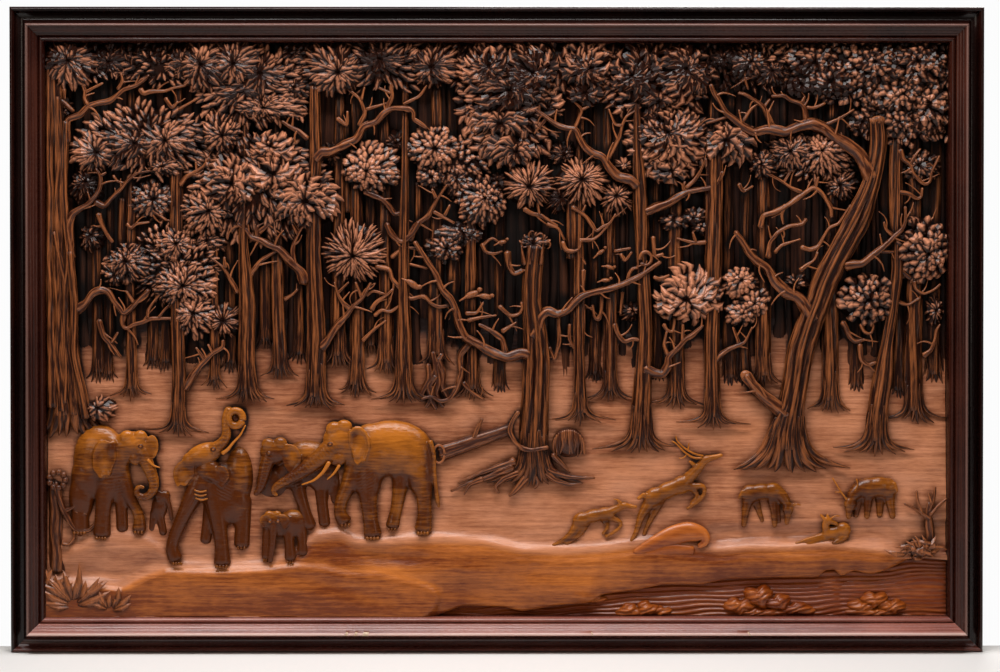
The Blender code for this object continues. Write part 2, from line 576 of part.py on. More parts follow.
def floor_rise(places):
    """The rise of the bare board, forest floor, front bank and stream."""
    gx, gy = places[:, 0], places[:, 1]
    plain = between(FLOOR_RISES, gy)
    plain = np.where(gy < FLOOR_RISES[0][0], 0, plain)
    crest = between(BANK_CREST, gx)
    foot = between(BANK_FOOT, gx)
    roll = np.clip((gy - crest + CREST_ROLL) / CREST_ROLL, 0, 1)
    bank = plain + (CREST_RISE - plain) * roll
    down = np.clip((gy - crest) / (foot - crest), 0, 1)
    hill = np.clip((600 - gx) / 120, 0, 1)
    face = CREST_RISE + (HILL_RISE - CREST_RISE) * (hill * np.sqrt(down) + (1 - hill) * 0.4
                                                   * np.sin(math.pi * down))
    rise = np.where(gy < crest, bank, face)
    stream = STREAM_RISE + STREAM_SLOPE * (gy - foot)
    return np.where(gy > foot, stream, rise)


def inside(places, inset):
    """Which places lie inside the opening, less an inset."""
    gx, gy = places[:, 0], places[:, 1]
    left, right = FIRST_COLUMN + inset, FIRST_COLUMN + COLUMNS - inset
    top, bottom = FIRST_ROW + inset, FIRST_ROW + ROWS - inset
    return (gx >= left) & (gx <= right) & (gy >= top) & (gy <= bottom)


def clamp(point):
    """A place moved back to the flange when it lies past it."""
    left, right = FIRST_COLUMN + FLANGE_INSET, FIRST_COLUMN + COLUMNS - FLANGE_INSET
    top, bottom = FIRST_ROW + FLANGE_INSET, FIRST_ROW + ROWS - FLANGE_INSET
    return (min(max(point[0], left), right), min(max(point[1], top), bottom))


def full_rise(places, features):
    """The height of the finished relief, zero on the flange under the frame's lip."""
    rise = floor_rise(places)
    lowest, highest = places.min(axis=0), places.max(axis=0)
    for feature in features:
        low, high = feature.bounds()
        if np.any(high < lowest) or np.any(low > highest):
            continue
        near = np.all((places >= low) & (places <= high), axis=1)
        if near.any():
            rise[near] = np.maximum(rise[near], feature.rise(places[near]))
    return np.where(inside(places, RIM_INSET - 1e-6), rise, 0)


class Layout:
    """The points and edges that the relief's facets must keep."""

    def __init__(self):
        self.points = []
        self.edges = []
        self.placed = {}

    def place(self, point, kind, within):
        """The number of a point, shared with one of its own kind that lies close by."""
        point = clamp(point)
        cell = (round(point[0] / SHARE_WITHIN), round(point[1] / SHARE_WITHIN), kind)
        for across in (-1, 0, 1):
            for down in (-1, 0, 1):
                for number in self.placed.get((cell[0] + across, cell[1] + down, kind), ()):
                    other = self.points[number]
                    if math.hypot(other[0] - point[0], other[1] - point[1]) < within:
                        return number
        self.placed.setdefault(cell, []).append(len(self.points))
        self.points.append(point)
        return len(self.points) - 1

    def add_line(self, points, keep, closed, kind, within=SHARE_WITHIN):
        """Add the points that are kept, joined where neighbours are both kept."""
        numbers = [None] * len(points)
        for index, point in enumerate(points):
            if keep[index]:
                numbers[index] = self.place(point, kind, within)
        count = len(points) if closed else len(points) - 1
        for index in range(count):
            first, second = numbers[index], numbers[(index + 1) % len(points)]
            if first is not None and second is not None and first != second:
                self.edges.append((first, second))

    def add_frame(self, side_inset, end_inset, spacing):
        """A rectangle round the opening, with points along its sides."""
        left, right = FIRST_COLUMN + side_inset, FIRST_COLUMN + COLUMNS - side_inset
        top, bottom = FIRST_ROW + end_inset, FIRST_ROW + ROWS - end_inset
        across = max(1, round((right - left) / spacing))
        down = max(1, round((bottom - top) / spacing))
        ring = [(left + (right - left) * i / across, top) for i in range(across)]
        ring += [(right, top + (bottom - top) * i / down) for i in range(down)]
        ring += [(right - (right - left) * i / across, bottom) for i in range(across)]
        ring += [(left, bottom - (bottom - top) * i / down) for i in range(down)]
        start = len(self.points)
        self.points.extend(ring)
        for index in range(len(ring)):
            self.edges.append((start + index, start + (index + 1) % len(ring)))


def near_opening(points):
    """Which points lie in the opening or just past its edge."""
    return inside(np.array(points), -24)


def lay_out_feature(layout, feature, others, features):
    """Add one feature's outline, its foot and its crests where nothing higher hides them."""
    within = SHARE_WITHIN * (SLIM_SHARE if feature.is_slim() else 1)
    for number, ring in enumerate(feature.rings()):
        places = np.array(ring)
        above = full_rise(places, others)
        if number == 0:
            limit = feature.foot + 0.35 * (feature.crown - feature.foot)
            keep = (above < limit) & near_opening(ring)
        else:
            own = feature.rise(places)
            keep = (above < own + 0.5) & near_opening(ring)
        layout.add_line(ring, keep, True, "rim" if number else "foot", within)
    for line in feature.crests():
        places = np.array(line)
        keep = (full_rise(places, others) < feature.rise(places) + 0.5) & inside(places, 2)
        layout.add_line(line, keep, False, "crest", within)


def lay_out_floor(layout, features):
    """Add the bank's crest and lower edge and a loose net of points over the open floor."""
    for shift in (-CREST_ROLL, 0):
        line = [(gx, gy + shift) for gx, gy in BANK_CREST]
        layout.add_line(line, inside(np.array(line), -4), False, "bank")
    for kind, shift in (("bank rim", -WALL_INSET), ("bank foot", WALL_OUTSET)):
        line = [(gx, gy + shift) for gx, gy in BANK_FOOT[1:]]
        layout.add_line(line, inside(np.array(line), -40), False, kind)
    net = []
    for row in range(int((FIRST_ROW + ROWS - FLOOR_RISES[0][0]) / FLOOR_ROW_SPACING)):
        gy = FLOOR_RISES[0][0] + row * FLOOR_ROW_SPACING
        for column in range(int(COLUMNS / FLOOR_SPACING)):
            net.append((FIRST_COLUMN + FLOOR_SPACING * (column + 0.4 + 0.5 * (row % 2)), gy))
    net = np.array(net)
    open_floor = full_rise(net, features) <= floor_rise(net) + 1e-6
    layout.points.extend(tuple(place) for place in net[open_floor & inside(net, 4)])


def relief_mesh():
    """Points and triangles of the carved slab: relief, flange, four sides and flat back."""
    features = all_features()
    layout = Layout()
    layout.add_frame(-LIP_COVER / SQUARE_X, -LIP_COVER / SQUARE_Z, EDGE_SPACING * 2)
    layout.add_frame(FLANGE_INSET, FLANGE_INSET, EDGE_SPACING)
    layout.add_frame(RIM_INSET, RIM_INSET, EDGE_SPACING)
    for number, feature in enumerate(features):
        others = features[:number] + features[number + 1:]
        lay_out_feature(layout, feature, others, features)
    lay_out_floor(layout, features)
    flat = [Vector(point) for point in layout.points]
    points, edges, triangles = delaunay_2d_cdt(flat, layout.edges, [], 0, MERGE)[:3]
    places = np.array([tuple(point) for point in points])
    rises = full_rise(places, features)
    vertices = []
    for place, rise in zip(places, rises):
        x, z = at(*place)
        vertices.append((x, -(BOARD_FRONT + rise * RISE), z))
    faces = [tuple(triangle) for triangle in triangles]
    return vertices, faces


def close_with_flat_back(vertices, faces):
    """Join the open rim of a front surface to a flat back at BOARD_BACK_GAP."""
    used = {}
    for face in faces:
        for index in range(3):
            edge = (face[index], face[(index + 1) % 3])
            used[edge] = True
    follow = {}
    for first, second in used:
        if (second, first) not in used:
            follow[second] = first
    start = next(iter(follow))
    loop = [start]
    while follow[loop[-1]] != start:
        loop.append(follow[loop[-1]])
    back = {}
    for number in loop:
        x, y, z = vertices[number]
        back[number] = len(vertices)
        vertices.append((x, -BOARD_BACK_GAP, z))
    for index, number in enumerate(loop):
        after = loop[(index + 1) % len(loop)]
        faces.append((number, after, back[after], back[number]))
    faces.append(tuple(back[number] for number in loop))
    return vertices, [face[::-1] for face in faces]


def material(name, colour, roughness):
    """A Principled wood finish."""
    shader = bpy.data.materials.new(name)
    shader.use_nodes = True
    principled = shader.node_tree.nodes["Principled BSDF"]
    principled.inputs["Base Color"].default_value = (*colour, 1)
    principled.inputs["Roughness"].default_value = roughness
    principled.inputs["Metallic"].default_value = 0
    return shader


def add_object(name, vertices, faces, finish):
    """A named object from points and faces, with its faces turned outward."""
    mesh = bpy.data.meshes.new(name)
    mesh.from_pydata(vertices, [], faces)
    mesh.validate()
    shape = bpy.data.objects.new(name, mesh)
    shape.data.materials.append(finish)
    bpy.context.scene.collection.objects.link(shape)
    return shape


def arc(start, end, bulge, steps):
    """Points of a shallow round from start to end, not counting either; bulge is its height."""
    points = []
    for step in range(1, steps):
        share = step / steps
        lift = bulge * math.sin(math.pi * share)
        across = start[0] + (end[0] - start[0]) * share
        up = start[1] + (end[1] - start[1]) * share
        points.append((across, up + lift))
    return points


def quarter(start, end, steps):
    """A hollow that leaves start straight down and reaches end level, not counting either."""
    points = []
    for step in range(1, steps):
        angle = math.pi / 2 * step / steps
        across = start[0] + (end[0] - start[0]) * (1 - math.cos(angle))
        up = start[1] + (end[1] - start[1]) * math.sin(angle)
        points.append((across, up))
    return points


def rail_profile():
    """The rail's section: distance in from the frame's outer side, and height off the wall."""
    bead_start = (0, OUTER_SIDE_HEIGHT)
    bead_end = (OUTER_BEAD_WIDTH, OUTER_SIDE_HEIGHT)
    cove_low = (OUTER_BEAD_WIDTH + COVE_WIDTH * 0.45, COVE_FLOOR_HEIGHT)
    cove_end = (OUTER_BEAD_WIDTH + COVE_WIDTH, FRAME_DEPTH - RIDGE_WIDTH * 0.5)
    ridge_end = (cove_end[0] + RIDGE_WIDTH, FRAME_DEPTH - RIDGE_WIDTH * 0.5)
    slope_end = (SLOPE_END, FRAME_DEPTH - SLOPE_DROP)
    groove_low = (slope_end[0] + GROOVE_WIDTH / 2, slope_end[1] - GROOVE_DEPTH)
    groove_end = (slope_end[0] + GROOVE_WIDTH, slope_end[1] - GROOVE_DEPTH * 0.4)
    sight = (RAIL_WIDTH, groove_end[1] - INNER_BEAD_HEIGHT)
    rebate_height = BOARD_FRONT + FIT
    rebate_wall = RAIL_WIDTH - LIP_COVER - FIT
    points = [(0, 0), bead_start]
    points += arc(bead_start, bead_end, OUTER_BEAD_HEIGHT, ARC_STEPS)
    points += [bead_end]
    points += quarter(bead_end, cove_low, ARC_STEPS)
    points += [cove_low]
    rising = quarter(cove_end, cove_low, ARC_STEPS)
    points += rising[::-1]
    points += [cove_end]
    points += arc(cove_end, ridge_end, RIDGE_WIDTH * 0.5, ARC_STEPS)
    points += [ridge_end, slope_end, groove_low, groove_end]
    points += arc(groove_end, sight, INNER_BEAD_HEIGHT, ARC_STEPS)
    points += [sight, (RAIL_WIDTH, rebate_height), (rebate_wall, rebate_height), (rebate_wall, 0)]
    return points


def add_rail(name, length, place, turn, finish):
    """A rail as long as the frame's side, cut at 45 degrees at both ends.

    It is modelled lying along X with its outer side up, then turned about Y and placed.
    """
    profile = rail_profile()
    count = len(profile)
    half = length / 2 - FIT / 2 * math.sqrt(2)
    vertices = []
    for side in (-1, 1):
        for inward, up in profile:
            vertices.append((side * (half - inward), -up, -inward))
    faces = [tuple(range(count - 1, -1, -1)), tuple(range(count, 2 * count))]
    for index in range(count):
        after = (index + 1) % count
        faces.append((index, after, after + count, index + count))
    rail = add_object(name, vertices, faces, finish)
    rail.location = place
    rail.rotation_euler = (0, turn, 0)
    return rail


def build():
    """Clear the scene, then make the slab and the four rails."""
    for old in list(bpy.data.objects):
        bpy.data.objects.remove(old, do_unlink=True)
    outer_width = OPENING_WIDTH + 2 * RAIL_WIDTH
    outer_height = OPENING_HEIGHT + 2 * RAIL_WIDTH
    top = RAIL_WIDTH / 2
    middle = top - outer_height / 2
    teak = material("carved teak", (0.24, 0.085, 0.03), 0.35)
    slab = add_object("carved_panel", *close_with_flat_back(*relief_mesh()), teak)
    rails = (
        ("frame_top", outer_width, (0, 0, top), 0),
        ("frame_bottom", outer_width, (0, 0, top - outer_height), math.pi),
        ("frame_left", outer_height, (-outer_width / 2, 0, middle), -math.pi / 2),
        ("frame_right", outer_height, (outer_width / 2, 0, middle), math.pi / 2),
    )
    for name, length, place, turn in rails:
        finish = material(name + " stained teak", (0.09, 0.022, 0.012), 0.3)
        add_rail(name, length, place, turn, finish)
    return slab


build()
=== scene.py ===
import math
import time

import bmesh
import bpy
import numpy as np
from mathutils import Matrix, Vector


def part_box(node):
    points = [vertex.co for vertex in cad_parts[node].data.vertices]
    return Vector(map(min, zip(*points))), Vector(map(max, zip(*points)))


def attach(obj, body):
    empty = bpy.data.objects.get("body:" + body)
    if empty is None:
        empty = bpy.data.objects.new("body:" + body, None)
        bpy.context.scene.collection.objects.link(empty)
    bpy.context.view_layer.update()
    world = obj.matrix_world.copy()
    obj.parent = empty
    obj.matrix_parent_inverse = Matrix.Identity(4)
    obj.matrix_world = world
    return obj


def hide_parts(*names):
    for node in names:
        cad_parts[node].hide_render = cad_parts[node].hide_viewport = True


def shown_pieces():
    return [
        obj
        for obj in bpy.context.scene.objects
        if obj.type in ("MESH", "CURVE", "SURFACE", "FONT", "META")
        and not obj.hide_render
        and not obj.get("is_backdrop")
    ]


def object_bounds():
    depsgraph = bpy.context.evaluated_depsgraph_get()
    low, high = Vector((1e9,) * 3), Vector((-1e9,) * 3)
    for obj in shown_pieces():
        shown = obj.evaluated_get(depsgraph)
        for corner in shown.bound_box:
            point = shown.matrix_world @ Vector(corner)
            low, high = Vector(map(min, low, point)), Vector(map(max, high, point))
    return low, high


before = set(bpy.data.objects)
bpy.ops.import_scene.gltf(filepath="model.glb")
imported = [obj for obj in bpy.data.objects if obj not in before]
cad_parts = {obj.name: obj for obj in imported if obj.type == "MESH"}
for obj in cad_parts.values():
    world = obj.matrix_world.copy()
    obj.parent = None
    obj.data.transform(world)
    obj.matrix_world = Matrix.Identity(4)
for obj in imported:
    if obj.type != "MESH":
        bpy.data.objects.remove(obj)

startTime = time.time()
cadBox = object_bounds()


def report(stage):
    print(f"[{time.time() - startTime:5.1f} s] {stage}")


# the layout: squares counted right (gx) and down (gy) over the opening, rises towards the viewer
layout = {"firstColumn": 46, "firstRow": 42, "columns": 898, "rows": 571,
          "boardThickness": 0.026, "fullRise": 50}
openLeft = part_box("frame_left")[1].x
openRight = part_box("frame_right")[0].x
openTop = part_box("frame_top")[0].z
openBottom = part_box("frame_bottom")[1].z
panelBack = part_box("carved_panel")[1].y
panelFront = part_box("carved_panel")[0].y
boardFront = panelBack - layout["boardThickness"]
riseStep = (boardFront - panelFront) / layout["fullRise"]
squareX = (openRight - openLeft) / layout["columns"]
squareZ = (openTop - openBottom) / layout["rows"]
perSquare = squareX / riseStep          # rises in one square
lastColumn = layout["firstColumn"] + layout["columns"]
lastRow = layout["firstRow"] + layout["rows"]


def toWorld(points):
    world = np.empty_like(points)
    world[:, 0] = openLeft + (points[:, 0] - layout["firstColumn"]) * squareX
    world[:, 1] = boardFront - points[:, 2] * riseStep
    world[:, 2] = openTop - (points[:, 1] - layout["firstRow"]) * squareZ
    return world


def waves(x, y, size, seed, count=7):
    # smooth, repeatable unevenness between about -1 and 1
    draw = np.random.default_rng(seed)
    total = np.zeros(np.broadcast(x, y).shape)
    for _ in range(count):
        angle = draw.uniform(0, 2 * math.pi)
        pitch = 2 * math.pi / (size * draw.uniform(0.6, 1.8))
        phase = draw.uniform(0, 2 * math.pi)
        total += np.sin((x * math.cos(angle) + y * math.sin(angle)) * pitch + phase)
    return total / count * 1.6


def ease(value):
    value = np.clip(value, 0, 1)
    return value * value * (3 - 2 * value)


def smoothLine(stations, step, rounds=3):
    # points along a line of stations, evenly spaced, with its corners eased
    stations = np.array(stations, dtype=float)
    gaps = np.hypot(*np.diff(stations[:, :2], axis=0).T)
    reach = np.concatenate(([0], np.cumsum(gaps)))
    count = max(4, int(round(reach[-1] / step)) + 1)
    places = np.linspace(0, reach[-1], count)
    line = np.stack([np.interp(places, reach, column) for column in stations.T], axis=1)
    for _ in range(rounds):
        line[1:-1] = (line[:-2] + 2 * line[1:-1] + line[2:]) / 4
    return line, places


class Carving:
    # a growing heap of shapes that becomes one piece
    def __init__(self):
        self.points, self.quads, self.triangles = [], [], []
        self.flow, self.tone, self.total = [], [], 0

    def add(self, points, quads=None, triangles=None, flow=None, tone=0.5):
        points = np.asarray(points, dtype=float)
        count = len(points)
        if flow is None:
            flow = np.stack((points[:, 0], points[:, 1], points[:, 2]), axis=1)
        self.points.append(points)
        self.flow.append(flow)
        self.tone.append(np.broadcast_to(np.asarray(tone, dtype=float), (count,)))
        if quads is not None and len(quads):
            self.quads.append(np.asarray(quads) + self.total)
        if triangles is not None and len(triangles):
            self.triangles.append(np.asarray(triangles) + self.total)
        self.total += count

    def trianglesInAll(self):
        return 2 * sum(map(len, self.quads)) + sum(map(len, self.triangles))


def meshFrom(name, points, quads, triangles):
    mesh = bpy.data.meshes.new(name)
    mesh.vertices.add(len(points))
    mesh.vertices.foreach_set("co", np.ascontiguousarray(points, dtype=np.float32).ravel())
    loops = np.concatenate((quads.ravel(), triangles.ravel())).astype(np.int32)
    starts = np.concatenate((np.arange(len(quads)) * 4, len(quads) * 4 + np.arange(len(triangles)) * 3))
    mesh.loops.add(len(loops))
    mesh.polygons.add(len(starts))
    mesh.loops.foreach_set("vertex_index", loops)
    mesh.polygons.foreach_set("loop_start", starts.astype(np.int32))
    mesh.update(calc_edges=True)
    return mesh


def stack(parts, width):
    return np.concatenate(parts) if parts else np.zeros((0, width), dtype=int)


builtPieces = []


def finishPiece(name, carving, material, smooth=True, node="carved_panel"):
    points = np.concatenate(carving.points)
    mesh = meshFrom(name, toWorld(points), stack(carving.quads, 4), stack(carving.triangles, 3))
    flow = mesh.attributes.new("flow", "FLOAT_VECTOR", "POINT")
    flow.data.foreach_set("vector", np.concatenate(carving.flow).astype(np.float32).ravel())
    tone = mesh.attributes.new("tone", "FLOAT", "POINT")
    tone.data.foreach_set("value", np.concatenate(carving.tone).astype(np.float32))
    mesh.polygons.foreach_set("use_smooth", np.full(len(mesh.polygons), smooth))
    piece = bpy.data.objects.new(name, mesh)
    bpy.context.scene.collection.objects.link(piece)
    mesh.materials.append(material)
    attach(piece, "root")
    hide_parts(node)
    builtPieces.append((piece, points))
    report(f"{name}: {carving.trianglesInAll()} triangles")
    return piece


# shader helpers
class Wire:
    # a socket that takes arithmetic
    def __init__(self, shader, socket):
        self.shader, self.socket = shader, socket

    def math(self, operation, *others):
        return self.shader.node("Math", {"operation": operation}, [self, *others])

    def __add__(self, other):
        return self.math("ADD", other)

    def __radd__(self, other):
        return self.math("ADD", other)

    def __sub__(self, other):
        return self.math("SUBTRACT", other)

    def __rsub__(self, other):
        return self.shader.node("Math", {"operation": "SUBTRACT"}, [other, self])

    def __mul__(self, other):
        return self.math("MULTIPLY", other)

    def __rmul__(self, other):
        return self.math("MULTIPLY", other)

    def __truediv__(self, other):
        return self.math("DIVIDE", other)

    def __pow__(self, other):
        return self.math("POWER", other)

    def clamp(self):
        return self.shader.node("Clamp", {}, {"Value": self})


class Finish:
    # a material and the one way of adding nodes to it
    def __init__(self, name):
        self.material = bpy.data.materials.new(name)
        self.material.use_nodes = True
        self.tree = self.material.node_tree
        self.shader = self.tree.nodes["Principled BSDF"]

    def feed(self, socket, value):
        if isinstance(value, Wire):
            self.tree.links.new(value.socket, socket)
        elif isinstance(value, (tuple, list)) and len(value) == 3 and socket.type == "RGBA":
            socket.default_value = (*value, 1)
        else:
            socket.default_value = value

    def node(self, kind, settings=None, inputs=None, output=0):
        made = self.tree.nodes.new("ShaderNode" + kind)
        for key, value in (settings or {}).items():
            if key == "stops":
                ramp = made.color_ramp
                while len(ramp.elements) < len(value):
                    ramp.elements.new(0.5)
                for element, (place, colour) in zip(ramp.elements, value):
                    element.position = place
                    element.color = (*colour, 1) if isinstance(colour, tuple) else (colour,) * 3 + (1,)
            else:
                setattr(made, key, value)
        if isinstance(inputs, dict):
            for key, value in inputs.items():
                self.feed(made.inputs[key], value)
        else:
            for socket, value in zip(made.inputs, inputs or []):
                self.feed(socket, value)
        return Wire(self, made.outputs[output])

    def mix(self, share, low, high):
        made = self.tree.nodes.new("ShaderNodeMix")
        made.data_type = "RGBA"
        self.feed(made.inputs["Factor"], share)
        self.feed(made.inputs[6], low)
        self.feed(made.inputs[7], high)
        return Wire(self, made.outputs[2])

    def attribute(self, name, output="Fac"):
        made = self.tree.nodes.new("ShaderNodeAttribute")
        made.attribute_name = name
        return Wire(self, made.outputs[output])

    def objectPlace(self):
        made = self.tree.nodes.new("ShaderNodeTexCoord")
        return Wire(self, made.outputs["Object"])

    def stretched(self, vector, scale):
        return self.node("VectorMath", {"operation": "MULTIPLY"}, [vector, scale])

    def noise(self, vector, scale, detail=4, roughness=0.55):
        return self.node("TexNoise", {}, {"Vector": vector, "Scale": scale, "Detail": detail,
                                          "Roughness": roughness})

    def bump(self, height, strength, distance, under=None):
        inputs = {"Height": height, "Strength": strength, "Distance": distance}
        if under is not None:
            inputs["Normal"] = under
        return self.node("Bump", {}, inputs)

    def set(self, **values):
        for key, value in values.items():
            self.feed(self.shader.inputs[key.replace("_", " ")], value)
        return self.material


# the wood: each finish is the same stained and varnished teak, worked and rubbed in its own way, with its hollows
# darkened by stain and painted shade and its raised parts lightened by wear and painted highlight
teakFinishes = {
    # the ground's pink-purple colours are partly painted sheen of the cool light from above
    "forestFloor": {"pale": (0.520, 0.225, 0.125), "body": (0.200, 0.062, 0.026), "dark": (0.010, 0.0022, 0.0010),
                    "warmPale": (0.470, 0.140, 0.024), "warmBody": (0.130, 0.024, 0.002),
                    "grain": (7, 7, 170), "along": None, "grainDepth": 0.0010, "stipple": 0.0016, "rough": 0.44, "gouges": 0.9,
                    "gloss": 0.20, "shine": 0.22, "contrast": 1.5, "clouds": 1.5, "rubbingAndPaintedLight": 0.35, "lift": 0.0,
                    "creep": 1.1},
    "bank": {"pale": (0.480, 0.130, 0.020), "body": (0.150, 0.024, 0.001), "dark": (0.006, 0.0014, 0.0006),
             "grain": (6, 6, 130), "along": None, "grainDepth": 0.0008, "stipple": 0.0012, "rough": 0.38, "gouges": 0.6,
             "gloss": 0.25, "shine": 0.25, "contrast": 1.5, "clouds": 1.0, "rubbingAndPaintedLight": 0.5, "lift": 0.04, "creep": 0.9},
    "bark": {"pale": (0.270, 0.082, 0.024), "body": (0.016, 0.0027, 0.0007), "dark": (0.003, 0.0009, 0.0004),
             "grain": None, "along": (1.4, 0.05, 1.0), "grainDepth": 0.0026, "stipple": 0.0001, "rough": 0.42,
             "gloss": 0.20, "shine": 0.14, "contrast": 3.0, "clouds": 0.8, "rubbingAndPaintedLight": 0.40, "lift": 0.0,
             "creep": 0.65},
    "branch": {"pale": (0.270, 0.085, 0.028), "body": (0.036, 0.0072, 0.0020), "dark": (0.005, 0.0014, 0.0006),
               "grain": None, "along": (1.1, 0.07, 1.0), "grainDepth": 0.0016, "stipple": 0.0001, "rough": 0.38,
               "gloss": 0.30, "shine": 0.16, "contrast": 2.6, "clouds": 1.0, "rubbingAndPaintedLight": 0.36, "lift": -0.04,
               "creep": 0.65},
    "leaf": {"pale": (0.460, 0.180, 0.095), "body": (0.0130, 0.0028, 0.0010), "dark": (0.005, 0.0015, 0.0007),
             "grain": (60, 60, 60), "along": None, "grainDepth": 0.0004, "stipple": 0.0001, "rough": 0.42,
             "gloss": 0.22, "shine": 0.10, "contrast": 1.0, "clouds": 2.0, "rubbingAndPaintedLight": 0.22, "lift": -0.22, "toning": 1.6,
             "creep": 0.55},
    "hide": {"pale": (0.390, 0.120, 0.012), "body": (0.066, 0.0140, 0.0020), "dark": (0.012, 0.0026, 0.0007),
             "grain": (26, 26, 220), "along": None, "grainDepth": 0.0005, "stipple": 0.0005, "rough": 0.30,
             "gloss": 0.28, "shine": 0.12, "contrast": 1.3, "clouds": 1.1, "rubbingAndPaintedLight": 0.40, "lift": 0.0,
             "creep": 0.75},
    "boards": {"pale": (0.260, 0.120, 0.058), "body": (0.130, 0.050, 0.022), "dark": (0.050, 0.018, 0.008),
               "grain": (3, 3, 120), "along": None, "grainDepth": 0.0006, "stipple": 0.0002, "rough": 0.62,
               "gloss": 0.0, "shine": 0.20, "contrast": 2.2, "clouds": 1.2, "rubbingAndPaintedLight": 0.2, "lift": 0.1,
               "creep": 1.0},
    # the shade finish: the same teak painted dark with stain and deep shade
    "shade": {"pale": (0.120, 0.036, 0.014), "body": (0.014, 0.0030, 0.0012), "dark": (0.003, 0.0009, 0.0005),
              "grain": (170, 170, 8), "along": None, "grainDepth": 0.0018, "stipple": 0.0002, "rough": 0.50,
              "gloss": 0.08, "shine": 0.15, "contrast": 2.2, "clouds": 0.9, "rubbingAndPaintedLight": 0.9, "lift": 0.02,
              "creep": 0.8},
}


def teak(name):
    look = teakFinishes[name]
    finish = Finish("teak " + name)
    place = finish.objectPlace()
    hollow = finish.attribute("hollow")
    rubbedAndHighlit = finish.attribute("rubbedAndHighlit")
    tone = finish.attribute("tone")
    if look["along"]:
        grain = finish.noise(finish.stretched(finish.attribute("flow", "Vector"), look["along"]), 1, 5, 0.62)
    else:
        grain = finish.noise(finish.stretched(place, look["grain"]), 1, 5, 0.6)
    clouds = finish.noise(place, 6, 4, 0.6)
    stipple = finish.noise(place, 420, 2, 0.6)
    # lighter with wear and painted highlight on raised parts, and with the painted light and shade that the tone
    # attribute carries
    light = ((grain - 0.5) * look["contrast"] + (clouds - 0.5) * look["clouds"] + (tone - 0.5) * look.get("toning", 1.3)
             + rubbedAndHighlit * look["rubbingAndPaintedLight"] + 0.2 + look["lift"]).clamp()
    if "gouges" in look:
        gouge = finish.noise(finish.stretched(place, (42, 42, 230)), 1, 3, 0.65)
        light = (light + (gouge - 0.5) * look["gouges"]).clamp()
        stipple = stipple * 0.4 + gouge * 1.2
    # the hollows darken with stain and painted shade
    stainAndShade = (hollow * 1.3 + (0.5 - grain) * 0.3 * hollow).clamp()
    body, pale = look["body"], look["pale"]
    if "warmBody" in look:
        # the near side of the bank is redder and more orange than the ground behind it, whose pinker colour is partly
        # painted sheen of the cool light above
        warm = finish.attribute("warm")
        body, pale = finish.mix(warm, body, look["warmBody"]), finish.mix(warm, pale, look["warmPale"])
    colour = finish.mix(light, body, pale)
    colour = finish.mix(stainAndShade ** look["creep"], colour, look["dark"])
    rough = (look["rough"] + (grain - 0.5) * 0.20 + stainAndShade * 0.08 - rubbedAndHighlit * 0.06).clamp()
    under = finish.bump(grain, 0.8, look["grainDepth"])
    normal = finish.bump(stipple, 0.5, look["stipple"], under)
    coat = (look["gloss"] - stainAndShade * 0.6).clamp()
    finish.set(Base_Color=colour, Roughness=rough, Normal=normal, Coat_Weight=coat, Coat_Roughness=0.20, IOR=1.45,
               Specular_IOR_Level=look["shine"])
    return finish.material


finishes = {name: teak(name) for name in teakFinishes}
report("finishes")


# the forest floor, its front bank and the stream, as rises over the layout
floorShape = {
    "rows": ((316, 1), (345, 4), (400, 12), (450, 17), (500, 22), (545, 27)),
    "crest": ((46, 578), (95, 578), (122, 582), (135, 574), (150, 567), (165, 562), (215, 563), (260, 561),
              (290, 553), (312, 534), (340, 530), (352, 538), (380, 539), (415, 535), (480, 536), (520, 545),
              (560, 547), (600, 545), (640, 539), (680, 541), (715, 547), (745, 543), (785, 543), (830, 541),
              (880, 546), (905, 553), (944, 557)),
    "foot": ((46, 640), (420, 640), (432, 613), (460, 602), (500, 603), (520, 608), (560, 601), (585, 600),
             (600, 591), (637, 586), (659, 581), (700, 581), (723, 576), (771, 574), (815, 574), (822, 567),
             (832, 566), (838, 573), (851, 567), (868, 571), (885, 566), (905, 556), (944, 552)),
    # the lobe of hill in front at the left: its top edge, then its right end
    "lobeTop": ((40, 575), (95, 578), (122, 582), (135, 574), (150, 567), (165, 562), (215, 563), (260, 561),
                (300, 557), (320, 558), (335, 562), (355, 565), (375, 564), (395, 568), (410, 572), (425, 577),
                (437, 583)),
    "lobeEnd": ((560, 392), (572, 410), (577, 425), (583, 436), (590, 441), (597, 441), (605, 437), (613, 430)),
    "mound": ((60, 553), (75, 548), (90, 541), (105, 536), (120, 534), (140, 537), (155, 545), (170, 560)),
    "crestRise": 36, "roll": 8, "hillRise": 46, "streamRise": 20, "streamSlope": 0.07,
    "columnStep": 2.3, "floorRows": 66, "faceRows": 30,
}


def lineAt(table, places):
    table = np.array(table, dtype=float)
    return np.interp(places, table[:, 0], table[:, 1])


def softLineAt(table, places, spread=5):
    offsets = np.linspace(-spread, spread, 7)
    return sum(lineAt(table, places + offset) for offset in offsets) / len(offsets)


def swelling(gx, gy, middleX, middleY, reachX, reachY, turn=0):
    slope = math.radians(turn)
    across = (gx - middleX) * math.cos(slope) + (gy - middleY) * math.sin(slope)
    down = -(gx - middleX) * math.sin(slope) + (gy - middleY) * math.cos(slope)
    return np.exp(-(across / reachX) ** 2 - (down / reachY) ** 2)


